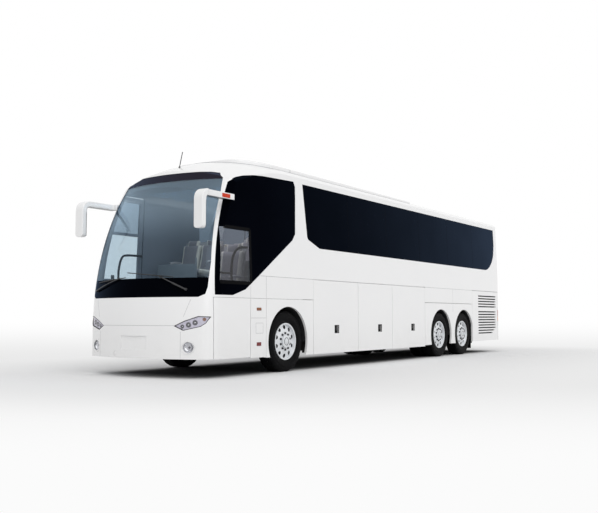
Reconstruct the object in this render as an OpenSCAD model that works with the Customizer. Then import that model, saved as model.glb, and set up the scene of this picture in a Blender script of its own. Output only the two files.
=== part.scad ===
// Three-axle touring coach, millimetres. Front faces -Y, the driver's side is +X, Z is up.
// The origin lies on the road under the middle of the body.

/* [Body] */
// Width over the side walls at the waist.
body_w = 2550; // [2450:10:2600]
// Length from the nose to the rear wall.
body_l = 12340; // [12000:20:13000]
// Height of the roof crown above the road.
roof_z = 3600; // [3560:10:3640]
// Lower edge of the luggage flaps.
sill_z = 260; // [230:5:290]
// Rise of the sill from the flaps to the tail.
sill_rise = 40; // [20:5:60]
// Crease between the lower panels and the upper walls.
waist_z = 1557; // [1530:1:1600]
// Inward lean of the upper walls.
lean_deg = 2.5; // [1:0.1:3]
// Thickness of the upper walls, the roof and the front shell.
wall_t = 50; // [40:1:60]
// Thickness of the lower panels, the flaps and the lid.
panel_t = 40; // [32:1:48]
// Gap left between neighbouring panels.
panel_gap = 8; // [7:0.5:12]
// Roof crown down to the seam between the roof and the walls.
cant_drop = 340; // [300:5:360]
// Height of the front panels above the wheel arch.
panel_rise = 125; // [110:5:140]
// Extra height of the panel above the rear wheels.
arch_step = 20; // [0:5:40]
// Front arch panel: its seam ahead of the arch.
arch_lip = 59; // [40:1:80]
// Length of the panel between the driver's corner and the arch panel.
front_panel_w = 416; // [380:2:440]

/* [Nose] */
// Radius of the nose seen from above.
bow_r = 2800; // [2700:20:3200]
// Radius of the front corners seen from above.
corner_r = 300; // [270:5:320]
// Radius of the raked screen seen from the side.
rake_r = 4520; // [4400:20:4700]
// Height at which the nose starts to lean back.
rake_z = 740; // [700:5:780]
// Radius of the front roof cap seen from the side.
cap_r = 4070; // [3900:10:4300]
// Where the cap meets the level roof, behind the front axle.
cap_end = 120; // [80:10:160]
// Lower edge of the front mask.
mask_z = 285; // [265:5:310]
// Mask's side seam ahead of the end of the rounded corner.
mask_lap = 112; // [100:2:130]
// Rear end of the front shell behind the front axle.
shell_end = 430; // [400:5:450]
// Width of the number plate's recess.
plate_w = 530; // [500:10:560]
// Height of the number plate's recess.
plate_h = 204; // [120:2:220]
// Lower edge of the number plate's recess.
plate_z = 418; // [400:2:440]
// Depth of the number plate's recess at the middle.
plate_in = 22; // [15:1:30]

/* [Roof unit] */
// Edge of the roof unit in from the side wall.
pod_in = 275; // [250:5:320]
// Height of the roof unit above the roof at its front.
pod_h = 50; // [40:5:70]
// Fall of its top from the front to the rear.
pod_fall = 20; // [10:5:30]
// Rear end of the roof unit ahead of the rear wall.
pod_tail = 4830; // [4500:10:5000]
// Gap between the fairing and the roof unit.
pod_gap = 40; // [20:5:60]
// Front of the fairing behind the header.
fairing_back = 757; // [700:1:800]
// Aerial's foot behind the header.
aerial_back = 256; // [200:2:300]
// Length of the aerial.
aerial_l = 270; // [200:5:320]
// Radius of the aerial's rod.
aerial_r = 7; // [5:0.5:9]
// Radius of the aerial's foot.
aerial_foot_r = 16; // [12:1:20]

/* [Glass] */
// Thickness of every pane.
glass_t = 12; // [8:1:16]
// How far a pane's face lies inside the skin.
glass_in = 6; // [4:1:10]
// Gap around a pane.
glass_gap = 0.5; // [0.3:0.1:0.8]
// Foot of the windscreen in from the side wall.
screen_in = 90; // [80:5:105]
// Roof crown down to the top of the windscreen.
screen_drop = 415; // [400:5:450]
// How far the windscreen wraps back past the header's middle.
screen_wrap = 250; // [220:5:280]
// Foot of the side windows: share of the height from the waist to their upper edge.
window_share = 0.336; // [0.32:0.002:0.36]
// Roof seam down to the upper edge of the side windows.
window_drop = 55; // [45:5:80]
// Number of side panes.
pane_count = 6; // [4:1:8]
// Gap between neighbouring side panes.
pane_split = 8; // [6:1:12]
// Front end of the side windows behind the front axle.
band_start = 522; // [500:2:560]
// Rear end of the side windows ahead of the rear wall.
band_end = 215; // [200:5:260]
// Length of the sloping front foot of the side windows.
band_lead = 492; // [460:2:520]
// Foot of the driver window above the mask.
driver_rise = 35; // [28:1:60]
// Front edge of the driver window ahead of the end of the rounded corner.
pillar_lap = 88; // [80:2:95]
// Rear edge of the driver window behind the front axle.
driver_rear = 298; // [280:2:320]

/* [Rear] */
// Radius of the rear corners seen from above.
rear_corner_r = 140; // [110:5:160]
// Radius of the roof's rear edge seen from the side.
rear_edge_r = 240; // [200:5:260]
// Flat end of the side walls ahead of the rear corner.
rear_lap = 20; // [10:5:30]
// Lower edge of the rear wall.
rear_z = 300; // [280:5:330]
// Edge of the rear window in from the side wall.
rear_win_in = 265; // [240:5:300]
// Foot of the rear window above the side windows' foot.
rear_win_rise = 40; // [20:5:60]
// Top of the rear window below the side windows' top.
rear_win_drop = 75; // [60:5:100]
// Edge of the engine lid in from the side wall.
lid_in = 415; // [400:5:450]
// Lower edge of the engine lid.
lid_z = 470; // [450:5:500]
// Height of the engine lid.
lid_h = 1030; // [1000:5:1040]
// Lower edge of the tail lamps.
tail_z = 670; // [650:5:700]
// Height of the tail lamps.
tail_h = 415; // [380:5:440]
// Width of the tail lamps from the side wall.
tail_w = 235; // [200:5:250]
// First louvre behind the rear arch panel.
louvre_lead = 405; // [380:5:430]
// Last louvre ahead of the rear corner.
louvre_tail = 130; // [100:5:160]
// Distance between louvre slots.
louvre_pitch = 67; // [60:1:70]
// Height of a louvre slot.
louvre_h = 30; // [24:1:36]
// Height of the lowest louvre slot.
louvre_low_z = 480; // [460:5:500]
// Number of slots in the lower block.
louvre_low_n = 9; // [6:1:9]
// Height of the upper block's lowest slot.
louvre_top_z = 1145; // [1130:5:1160]
// Number of slots in the upper block.
louvre_top_n = 5; // [3:1:5]
// Step by which the lowest slots are shortened at the rear corner.
louvre_cut = 120; // [60:10:140]

/* [Running gear] */
// Nose to front axle.
front_overhang = 2310; // [2290:5:2350]
// Drive axle to tag axle.
tag_gap = 1350; // [1320:5:1400]
// Tag axle to the rear wall.
rear_overhang = 2460; // [2400:10:2520]
// Tyre radius.
tyre_r = 500; // [485:1:505]
// Tyre width.
tyre_w = 280; // [260:2:285]
// Radius of the rim's edge.
rim_r = 305; // [295:1:312]
// Depth of the tyre's bead inside the rim's edge.
bead_d = 5; // [4:0.5:7]
// Rim's edge inside the tyre's side.
bead_in = 26; // [22:1:30]
// Wall of the rim's barrel.
rim_t = 28; // [24:1:32]
// Inset of the outer tyre face from the side wall.
wheel_inset = 44; // [36:2:60]
// Distance between the middles of twin tyres.
twin_pitch = 330; // [320:2:345]
// Dish of the single wheels, outward from the tyre's middle.
single_dish = 76; // [66:2:80]
// Dish of the twin wheels, outward from the outer tyre's middle.
twin_dish = 70; // [60:2:80]
// Number of hand holes in a wheel.
hand_count = 10; // [8:1:10]
// Radius of a hand hole.
hand_r = 27; // [22:1:28]
// Distance of the hand holes from the wheel's middle.
hand_pitch_r = 236; // [228:1:240]
// Radius of the hub seat on the wheel's disc.
hub_r = 105; // [95:1:110]
// Clearance between tyre and wheel arch.
arch_gap = 75; // [70:1:90]
// Thickness of the arch liners.
liner_t = 10; // [6:1:12]
// Arch liner inward of the tyre.
liner_in = 131; // [120:1:140]
// Kingpin distance inside the wheel's middle.
kingpin_in = 90; // [85:1:95]
// Kingpin radius.
kingpin_r = 24; // [20:1:28]
// Running clearance of pins and shafts.
run_gap = 0.8; // [0.5:0.1:0.9]
// Length of the steering arms.
steer_arm = 190; // [180:2:195]
// Radius of the tie rod.
tie_r = 14; // [12:1:16]
// Radius of the steering arm's pin.
tie_pin_r = 12; // [10:1:13]
// Radius of the wheel spindles.
spindle_r = 45; // [40:1:48]
// Half height of the front axle's eye.
eye_h = 60; // [55:1:65]
// Thickness of a knuckle's fork.
fork_h = 30; // [26:1:34]
// Half depth of the front beam.
beam_w = 45; // [40:1:48]
// Radius of the drive axle's tube.
drive_r = 90; // [80:2:100]
// Radius of the drive axle's gear case.
case_r = 230; // [210:5:240]
// Radius of the tag axle's tube.
tag_r = 70; // [60:2:80]
// Radius of the drive shaft.
shaft_r = 40; // [34:1:44]
// Radius of the air springs.
spring_r = 110; // [100:2:120]

/* [Underframe] */
// Front end of the flaps behind the front axle.
bay_start = 770; // [750:5:800]
// Rear end of the flaps ahead of the drive axle.
bay_end = 880; // [850:5:900]
// Upper face of the luggage floor.
bay_floor_z = 360; // [340:5:380]
// Upper face of the cabin deck.
deck_z = 1350; // [1340:2:1380]
// Thickness of decks and bulkheads.
deck_t = 45; // [35:1:50]
// How far bulkheads and brackets stand past the bay's seams.
bulkhead_lap = 20; // [15:1:25]
// Width of the posts between the flaps.
post_w = 60; // [50:2:70]
// Rails inward of the inner rear tyres' middle.
rail_in = 361; // [340:1:380]
// Width of a rail.
rail_w = 90; // [80:2:100]
// Height of the front rails' lower edge.
rail_z = 630; // [620:5:640]
// Height of the front rails.
rail_h = 130; // [120:5:140]
// Height of the rear rails' lower edge.
rear_rail_z = 860; // [850:5:880]
// Lower face of the jacking pads.
pad_z = 270; // [250:5:290]
// Outer edge of a jacking pad in from the side wall.
pad_in = 215; // [200:5:240]
// Side of a jacking pad.
pad_w = 160; // [140:5:180]
// Jacking pad's middle from the bulkhead.
pad_back = 300; // [280:5:340]
// Width of a flap's handle recess.
handle_w = 100; // [80:5:120]
// Height of a flap's handle recess.
handle_h = 130; // [100:5:140]
// Lower edge of a flap's handle recess.
handle_z = 620; // [600:5:640]
// Depth of a flap's handle recess.
handle_d = 15; // [10:1:20]
// Width of the engine block.
engine_w = 960; // [900:10:1000]
// Height of the engine block.
engine_h = 380; // [360:5:380]
// Front of the engine block behind the tag axle.
engine_back = 700; // [650:10:760]
// Engine block's rear ahead of the flat end of the walls.
engine_tail = 220; // [200:5:260]

/* [Cabin] */
// Upper face of the driver's floor.
cab_floor_z = 840; // [820:5:860]
// Front of the driver's floor behind the nose.
cab_start = 610; // [600:5:630]
// Number of seat rows.
seat_rows = 12; // [10:1:12]
// Front of the first row ahead of the front axle.
seat_lead = 480; // [440:5:500]
// Back of the last row ahead of the rear wall.
seat_end = 1190; // [1100:10:1300]
// Width of a double seat.
seat_w = 880; // [840:5:900]
// Depth of a seat.
seat_d = 640; // [600:5:660]
// Height of a seat above its floor.
seat_h = 950; // [900:5:1000]
// Seat's side from the inner face of the wall.
seat_wall = 120; // [110:2:140]
// Width of the driver's seat.
driver_w = 480; // [450:5:520]
// Height of the driver's seat above its floor.
driver_h = 1280; // [1200:10:1320]
// Steering wheel's middle in from the side wall.
steer_in = 635; // [620:5:660]
// Radius of the steering wheel.
steer_r = 215; // [200:5:230]
// Radius of the steering wheel's rim.
steer_tube = 18; // [15:1:20]
// Tilt of the steering wheel.
steer_tilt = 20; // [15:1:25]
// Middle of the steering wheel above the floor.
steer_rise = 460; // [440:5:480]
// Middle of the steering wheel behind the floor's front.
steer_back = 220; // [200:5:240]
// Radius of the steering column.
column_r = 30; // [25:1:35]

/* [Door] */
// Post between the door and the arch panel.
door_post = 266; // [250:2:290]
// Foot of the door.
door_z = 335; // [320:5:350]
// Roof crown down to the top of the door.
door_drop = 650; // [620:5:680]
// Door's front edge behind the driver window's front edge.
door_lead = 50; // [40:2:60]
// Gap around the door leaf.
door_gap = 14; // [12:1:18]
// Frame between the door's front edge and its panes.
door_frame = 90; // [80:2:100]
// Frame between the door's rear edge and its panes.
door_stile = 80; // [70:2:90]
// Swing arm's post in from the side wall.
pivot_in = 175; // [165:1:185]
// Swing arm's post behind the door's front edge.
pivot_back = 160; // [150:2:170]
// Swing arm's length as a share of the door's width.
arm_share = 0.5263; // [0.5:0.01:0.55]
// Radius of the swing arm's post.
post_r = 28; // [24:1:32]
// Radius of the door's lugs.
lug_r = 30; // [26:1:34]
// Thickness of a lug and of an arm.
lug_h = 30; // [26:1:34]
// Radius of the lugs' pins.
pin_r = 14; // [12:1:16]

/* [Lamps and mirrors] */
// Outer tip of a headlamp in from the side wall.
lamp_in = 39; // [34:1:44]
// Width of a headlamp.
lamp_w = 506; // [480:2:520]
// Lower edge of a headlamp.
lamp_z = 704; // [690:2:720]
// Height of a headlamp.
lamp_h = 214; // [200:2:220]
// How far a headlamp's face lies inside the skin.
lamp_sink = 4; // [3:0.5:6]
// Middle of a fog lamp in from the side wall.
fog_in = 325; // [310:5:340]
// Height of a fog lamp.
fog_z = 457; // [445:1:470]
// Radius of a fog lamp.
fog_r = 80; // [70:1:85]
// How far a fog lamp's face lies inside the skin.
fog_sink = 10; // [6:1:14]
// Towing eye's socket from the middle.
tow_x = 400; // [380:5:420]
// Height of the towing eye's socket.
tow_z = 345; // [340:1:355]
// Radius of the hole over the towing eye's socket.
tow_r = 40; // [36:1:44]
// Radius of the towing eye's thread.
tow_bore_r = 21; // [18:0.5:24]
// Depth of the towing eye's thread.
tow_depth = 160; // [150:5:180]
// Towing socket's face behind the nose.
tow_back = 70; // [65:1:80]
// Marker lamp's middle ahead of the arch panel.
marker_y = 196; // [190:2:210]
// Height of the marker lamp.
marker_z = 1030; // [1010:5:1050]
// Length of the marker lamp.
marker_w = 100; // [80:2:110]
// Height of the side reflector.
reflector_z = 480; // [460:5:500]
// Side of the reflector.
reflector_w = 50; // [40:2:60]
// How far marker lamps stand off the panel.
marker_t = 12; // [8:1:14]
// Mirror head's middle in from the side wall.
head_in = 25; // [15:1:30]
// Mirror head's middle behind the nose.
head_back = 60; // [50:2:70]
// Roof crown down to the foot of the mirror head.
head_drop = 1410; // [1380:5:1440]
// Height of the straight part of a mirror head.
head_h = 440; // [420:5:460]
// Width of a mirror head.
head_w = 170; // [150:5:180]
// Radius of the head's lower corners.
head_r = 50; // [40:1:60]
// Depth of a mirror head.
head_d = 95; // [85:1:105]
// Inner radius of the mirror arm's bend.
bend_r = 55; // [45:1:65]
// Width of a mirror arm.
arm_w = 120; // [100:2:130]
// Width of the foot that holds the right mirror's arm on the pillar.
foot_w = 75; // [70:1:80]
// Right mirror's arm ahead of the door's edge.
door_pass = 24; // [20:1:30]
// How far the left mirror's arm laps over the driver window.
arm_lap = 94; // [80:2:110]
// Border around the mirror's glass.
mirror_rim = 10; // [8:1:15]
// Thickness of the mirror's glass.
mirror_t = 5; // [4:0.5:7]

/* [Hidden] */
big = 20000;
eps = 0.3;
hw = body_w / 2;
nose_y = -body_l / 2;
rear_y = body_l / 2;
front_y = nose_y + front_overhang;
tag_y = rear_y - rear_overhang;
drive_y = tag_y - tag_gap;
lean = tan(lean_deg);
half_gap = panel_gap / 2;
// Heights that hang from the roof or stand on the wheels.
cant_z = roof_z - cant_drop;
screen_top_z = roof_z - screen_drop;
window_top_z = cant_z - window_drop;
window_z = round(waist_z + window_share * (window_top_z - waist_z));
axle_z = tyre_r;
arch_r = tyre_r + arch_gap;
mask_top_z = axle_z + arch_r + panel_rise;
arch_top_z = mask_top_z + arch_step;
driver_foot_z = mask_top_z + driver_rise;
// Turning axes of the raked screen and of the roof cap.
rake_y = nose_y + rake_r;
cap_y = front_y + cap_end;
cap_z = roof_z - cap_r;
// Middle of the rounded front corner: across, and back from the nose.
corner_x = hw - corner_r;
corner_s = bow_r - sqrt(pow(bow_r - corner_r, 2) - corner_x * corner_x);
corner_y = nose_y + round(corner_s);
// Header: where the raked screen and the roof cap cross on the middle plane.
cross_d = norm([cap_y - rake_y, cap_z - rake_z]);
cross_a = (rake_r * rake_r - cap_r * cap_r + cross_d * cross_d) / (2 * cross_d);
cross_h = sqrt(rake_r * rake_r - cross_a * cross_a);
header_y = rake_y + (cross_a * (cap_y - rake_y) + cross_h * (cap_z - rake_z)) / cross_d;
screen_y1 = header_y + screen_wrap;
// Front edge of the driver window: an arc that follows the rake.
pillar_y = corner_y - pillar_lap;
pillar_r = 0.794 * rake_r;
// Seams along the coach.
mask_y = corner_y - mask_lap;
shell_y = front_y + shell_end;
arch_front_y = front_y - arch_r - arch_lip;
front_panel_y = arch_front_y - front_panel_w;
arch_rear_end = tag_y + tyre_r + 30;
tail_y = rear_y - rear_corner_r - rear_lap;
bay_y0 = front_y + bay_start;
bay_y1 = drive_y - bay_end;
// Seams of the three flaps as shares of the bay.
bay_share = [0, 0.346, 0.656, 1];
// Handle's middle in each flap as a share of the flap's length.
handle_share = [0.5, 0.62, 0.61];
band_y0 = front_y + band_start;
band_y1 = rear_y - band_end;
// Wheel middles across the coach.
wheel_x = hw - wheel_inset - tyre_w / 2;
inner_x = wheel_x - twin_pitch;
kingpin_x = wheel_x - kingpin_in;
rail_x = inner_x - rail_in;
// Where the fixed axles end, short of the turning hubs.
hub_len = 20;
hub_in = inner_x - hub_len - run_gap;
tag_in = wheel_x - 2 * hub_len;
hinge_r = panel_t / 2;
flap_axis_z = waist_z - half_gap - hinge_r;
cab_y = nose_y + cab_start;
// Inner wall of the entry, beside the right front rail.
step_x = -(rail_x + rail_w / 2 + deck_t);
seat_y0 = front_y - seat_lead;
seat_pitch = (rear_y - seat_end - seat_d - seat_y0) / (seat_rows - 1);
steer_x = hw - steer_in;
engine_y = tag_y + engine_back;
// Door leaf, its swing arm and the heights of the arm's two levels.
door_y0 = pillar_y + door_lead;
door_y1 = arch_front_y - door_post;
door_top_z = roof_z - door_drop;
door_h = door_top_z - door_z;
door_arm = round(arm_share * (door_y1 - door_y0));
pivot_x = -(hw - pivot_in);
pivot_y = door_y0 + pivot_back;
arm_z = [for (s = [0.254, 0.426]) round(door_z + s * door_h)];
lid_w = 2 * (hw - lid_in);
lid_top_z = lid_z + lid_h;
rear_win_w = hw - rear_win_in;
rear_win_z0 = window_z + rear_win_rise;
rear_win_z1 = window_top_z - rear_win_drop;
fog_x = hw - fog_in;
head_x = hw - head_in;
head_y = nose_y + head_back;
head_z = roof_z - head_drop;

function mix(a, b, share) = a + (b - a) * share;

// Outline from rows of shares [across, up] of the field from corner p to corner q, drawn in by inset.
module outline2d(rows, p, q, inset = 0) {
    polygon([for (r = rows)
        [mix(p[0] + inset, q[0] - inset, r[0]), mix(p[1] + inset, q[1] - inset, r[1])]]);
}
// Closed outline from the right half's points, mirrored across the second axis.
module mirrored2d(half) {
    n = len(half);
    polygon([for (i = [0 : 2 * n - 1]) i < n ? half[i] : [-half[2 * n - 1 - i][0], half[2 * n - 1 - i][1]]]);
}
// Sweeps a drawing of (x, z) along Y, or of (y, z) along X.
module along_y(y0, y1) {
    translate([0, y1, 0]) rotate([90, 0, 0]) linear_extrude(y1 - y0) children();
}
module along_x(x0, x1) {
    translate([x0, 0, 0]) rotate([90, 0, 90]) linear_extrude(x1 - x0) children();
}
module box(x0, x1, y0, y1, z0, z1) {
    translate([x0, y0, z0]) cube([x1 - x0, y1 - y0, z1 - z0]);
}
module both_sides() {
    children();
    mirror([1, 0, 0]) children();
}
module rod(p, axis, r, h, n = 48) {
    translate(p) rotate(axis == "x" ? [0, 90, 0] : axis == "y" ? [-90, 0, 0] : [0, 0, 0])
        cylinder(r = r, h = h, $fn = n);
}

// Nose outline inset by t: first coordinate runs out from the turning axis, second across.
module nose2d(rho, t) {
    reach = 4 * (bow_r - corner_s);
    intersection() {
        translate([rho - bow_r, 0]) circle(r = bow_r - t, $fn = 480);
        polygon([[rho - bow_r, 0], [rho - bow_r + reach, 4 * corner_x], [rho - bow_r + reach, -4 * corner_x]]);
        translate([0, -hw]) square([rho + corner_r, 2 * hw]);
    }
    for (s = [-1, 1]) translate([rho - corner_s, s * corner_x]) circle(r = corner_r - t, $fn = 128);
    translate([0, t - hw]) square([rho - corner_s, 2 * (hw - t)]);
    translate([0, -corner_x]) square([rho - corner_s + 1, 2 * corner_x]);
}
module turned(ay, az, angle, rho, t) {
    translate([0, ay, az])
        multmatrix([[0, 0, 1, 0], [-1, 0, 0, 0], [0, 1, 0, 0], [0, 0, 0, 1]])
        rotate_extrude(angle = angle, $fn = 360) nose2d(rho, t);
}
// Leaning side walls inset by t, drawn well past the roof.
module lean2d(t) {
    over_z = roof_z + cant_drop;
    top = hw - lean * (over_z - waist_z) - t;
    mirrored2d([[hw - t, 0], [hw - t, waist_z], [top, over_z]]);
}
// Crowned roof above upright walls, inset by t.
module crown2d(t) {
    translate([0, cap_z]) rotate(90) nose2d(cap_r, t);
}
// Cross-section of the coach behind the cap, inset by t.
module section2d(t) {
    intersection() {
        crown2d(t);
        lean2d(t);
    }
}
// Upright nose inset by t.
module upright(t, height) {
    translate([0, rake_y, 0]) rotate([0, 0, -90]) linear_extrude(height) nose2d(rake_r, t);
}
// Upright nose and raked screen inset by t, up to the stated angle of rake.
module low_solid(t, angle = 30) {
    upright(t, rake_z);
    turned(rake_y, rake_z, angle, rake_r, t);
}
// The front of the coach as a solid inset by t, back to y1: screen and cap meet at the header.
module front_solid(t, y1) {
    intersection() {
        union() low_solid(t, 80);
        union() {
            turned(cap_y, cap_z, 90, cap_r, t);
            along_y(cap_y, y1) crown2d(t);
        }
        along_y(nose_y - wall_t, y1) lean2d(t);
    }
}
// Skin of the front between two depths below the surface.
module front_skin(t0, t1) {
    difference() {
        front_solid(t0, shell_y);
        front_solid(t1, shell_y + wall_t);
    }
}
module low_skin(t0, t1) {
    difference() {
        low_solid(t0);
        low_solid(t1);
    }
}

// Windscreen outline seen from the front: shares of its half width and of its height.
screen_edge = [[0.907, 0], [0.983, 0.022], [1, 0.075], [1, 0.26], [0.97, 0.45], [0.937, 0.64],
               [0.903, 0.82], [0.861, 0.94], [0.755, 0.99], [0.646, 1]];
module screen2d(inset) {
    half = hw - screen_in - inset;
    mirrored2d([for (e = screen_edge) [e[0] * half, mix(mask_top_z + inset, screen_top_z - inset, e[1])]]);
}
// Front edge of the driver window and of the door: an arc that starts upright at the foot.
module ahead2d(step) {
    translate([pillar_y + step + pillar_r, driver_foot_z]) circle(r = pillar_r, $fn = 240);
}
// Driver window outline seen from the side: shares of its length and of its height.
driver_edge = [[-0.091, 0], [0.182, 0], [0.328, 0.048], [0.933, 0.485], [0.976, 0.546], [1, 0.957],
               [0.978, 1.005], [0.579, 0.99], [0.456, 0.979], [0.355, 0.962], [0.282, 0.94],
               [0.248, 0.924], [0.22, 0.901], [0.15, 0.84], [-0.091, 0.541]];
module driver2d(inset) {
    intersection() {
        ahead2d(inset);
        outline2d(driver_edge, [pillar_y, driver_foot_z], [front_y + driver_rear, window_top_z], inset);
    }
}
// Side window band outline seen from the side, with a round rear foot.
band_r = 0.685 * (window_top_z - window_z);
// Front foot of the band: shares of its sloping length and of the band's height.
band_edge = [[0, 1], [0.197, 0.164], [0.254, 0.123], [1, 0]];
module band2d(inset) {
    foot = window_z + inset;
    top = window_top_z - inset;
    start = band_y0 + inset;
    end = band_y1 - inset;
    polygon([for (e = band_edge) [start + e[0] * band_lead, mix(foot, top, e[1])],
             [end - band_r, foot], [end - band_r, top]]);
    translate([end - band_r - 1, foot + band_r]) square([band_r + 1, top - foot - band_r]);
    intersection() {
        translate([end - band_r, foot + band_r]) circle(r = band_r, $fn = 120);
        translate([end - band_r - 1, foot]) square([band_r + 1, band_r + 1]);
    }
}
// Door leaf outline seen from the side.
module door2d(inset) {
    intersection() {
        ahead2d(door_lead + inset);
        translate([nose_y, door_z + inset]) square([door_y1 - nose_y - inset, door_h - 2 * inset]);
    }
}
// Door panes, the clear lower one and the upper one: foot and top as shares of the door's height.
door_pane = [[0.461, 0.746], [0.765, 0.966]];
module door_panes2d(inset) {
    for (p = door_pane) intersection() {
        ahead2d(door_lead + door_frame + inset);
        translate([nose_y, door_z + p[0] * door_h + inset])
            square([door_y1 - door_stile - nose_y - inset, (p[1] - p[0]) * door_h - 2 * inset]);
    }
}

// Front shell: pillars, header and front roof in one, with its three openings.
module front_shell() {
    color("white") difference() {
        intersection() {
            front_skin(0, wall_t);
            box(-big, big, -big, shell_y, mask_top_z, big);
        }
        along_y(nose_y - wall_t, screen_y1 + 2 * wall_t) screen2d(0);
        along_x(0, big) driver2d(0);
        along_x(-big, 0) door2d(-door_gap);
    }
}
// Headlamp outline seen from the front: shares of its width and of its height.
lamp_edge = [[0, 0.318], [0.287, 0], [0.787, 0.276], [0.909, 0.519], [1, 0.972], [0.713, 1], [0.308, 0.668]];
module lamp2d(inset) {
    tip = hw - lamp_in;
    outline2d(lamp_edge, [tip - lamp_w, lamp_z], [tip, lamp_z + lamp_h], inset);
}
module lamp_reach(inset) {
    both_sides() along_y(nose_y - wall_t, mask_y - panel_gap) lamp2d(inset);
}
module fog_reach(inset) {
    both_sides() rod([fog_x, nose_y - wall_t, fog_z], "y", fog_r - inset, corner_s);
}
// Front mask below the windscreen, with lamp openings, plate recess and tow hole.
module front_mask() {
    color("white") difference() {
        intersection() {
            low_skin(0, wall_t);
            union() {
                box(-big, big, -big, mask_y - half_gap, mask_z, mask_top_z);
                box(-big, 0, mask_y - panel_gap, door_y0 - door_gap, mask_z, mask_top_z);
            }
        }
        lamp_reach(0);
        fog_reach(0);
        rod([-tow_x, nose_y - wall_t, tow_z], "y", tow_r, corner_s);
        box(-plate_w / 2, plate_w / 2, nose_y - wall_t, nose_y + plate_in, plate_z, plate_z + plate_h);
    }
}

// Upper side walls behind the front shell, one each side, with the window band cut out.
module side_wall() {
    low = mask_top_z + half_gap;
    high = waist_z + half_gap;
    over = arch_top_z + half_gap;
    difference() {
        intersection() {
            along_y(shell_y, tail_y) difference() {
                section2d(0);
                section2d(wall_t);
            }
            along_x(wall_t, big) polygon([
                [shell_y, low], [bay_y0, low], [bay_y0, high], [bay_y1, high], [bay_y1, over],
                [arch_rear_end, over], [arch_rear_end, high], [tail_y, high], [tail_y, cant_z],
                [shell_y, cant_z]]);
        }
        along_x(0, big) band2d(0);
    }
    // Hinge seat along the top of the flaps.
    difference() {
        box(hw - wall_t, hw - hinge_r, bay_y0, bay_y1, flap_axis_z, high + 1);
        rod([hw - hinge_r, bay_y0 - 1, flap_axis_z], "y", hinge_r + run_gap, bay_y1 - bay_y0 + 2);
    }
}
module side_walls() {
    color("white") both_sides() side_wall();
}
// Roof seen from the side and from above, inset by t, drawn past its front end.
module roof_side2d(t) {
    y0 = shell_y - rear_edge_r;
    y1 = rear_y - t;
    z1 = roof_z - t;
    r = rear_edge_r - t;
    translate([y0, 0]) square([y1 - r - y0, z1]);
    translate([y1 - r - 1, 0]) square([r + 1, z1 - r]);
    translate([y1 - r, z1 - r]) circle(r = r, $fn = 64);
}
module rear_plan2d(t) {
    r = rear_corner_r - t;
    y0 = shell_y - rear_edge_r;
    translate([t - hw, y0]) square([2 * (hw - t), rear_y - t - r - y0]);
    translate([t - hw + r, y0]) square([2 * (hw - t - r), rear_y - t - y0]);
    for (s = [-1, 1]) translate([s * (hw - t - r), rear_y - t - r]) circle(r = r, $fn = 48);
}
module roof() {
    color("white") difference() {
        intersection() {
            along_y(shell_y, rear_y) section2d(0);
            along_x(-big, big) roof_side2d(0);
            linear_extrude(big) rear_plan2d(0);
            box(-big, big, shell_y, big, cant_z, big);
        }
        intersection() {
            along_y(shell_y - wall_t, rear_y) section2d(wall_t);
            along_x(-big, big) roof_side2d(wall_t);
        }
    }
}
// Raised cooling unit on the roof and the fairing that leads up to it.
pod_w = hw - pod_in;
pod_y0 = shell_y + pod_gap;
pod_y1 = rear_y - pod_tail;
pod_z0 = roof_z - cant_drop;
pod_top = roof_z + pod_h;
module pod2d() {
    intersection() {
        crown2d(-pod_h);
        translate([-pod_w, pod_z0]) square([2 * pod_w, 2 * cant_drop]);
    }
}
// The unit's top falls gently from its front to its rear, and its rear end is sloped.
module cooling_unit() {
    fall = atan(pod_fall / (pod_y1 - pod_y0));
    intersection() {
        difference() {
            translate([0, pod_y0, pod_top]) rotate([-fall, 0, 0]) translate([0, -pod_y0, -pod_top])
                along_y(pod_y0 - pod_gap, pod_y1 + cant_drop) pod2d();
            along_y(pod_y0 - 2 * pod_gap, pod_y1 + 2 * cant_drop) crown2d(-eps);
        }
        along_x(-big, big) polygon([
            [pod_y0, pod_z0], [pod_y0, pod_top - pod_h / 9], [pod_y0 + 2 * pod_h, pod_top + 5],
            [pod_y1 - 9 * pod_h, pod_top + 5], [pod_y1, roof_z - pod_fall], [pod_y1, pod_z0]]);
    }
}
// The fairing's front is round in plan and runs out on the shell.
module fairing() {
    y0 = round(header_y) + fairing_back;
    nose_r = 1.1 * pod_w;
    difference() {
        intersection() {
            front_solid(-pod_h, shell_y);
            box(-pod_w, pod_w, y0, shell_y, pod_z0, big);
            translate([0, y0 + nose_r, 0]) cylinder(r = nose_r, h = big, $fn = 96);
            along_x(-big, big) polygon([
                [y0, pod_z0], [y0, roof_z - 2 * pod_h], [mix(y0, shell_y, 0.43), pod_top - 0.55 * pod_h],
                [mix(y0, shell_y, 0.8), pod_top - 0.13 * pod_h], [shell_y, pod_top - pod_h / 18],
                [shell_y, pod_z0]]);
        }
        front_solid(-eps, shell_y + pod_gap);
    }
}
module roof_pod() {
    color("white") {
        cooling_unit();
        fairing();
    }
}
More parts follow.
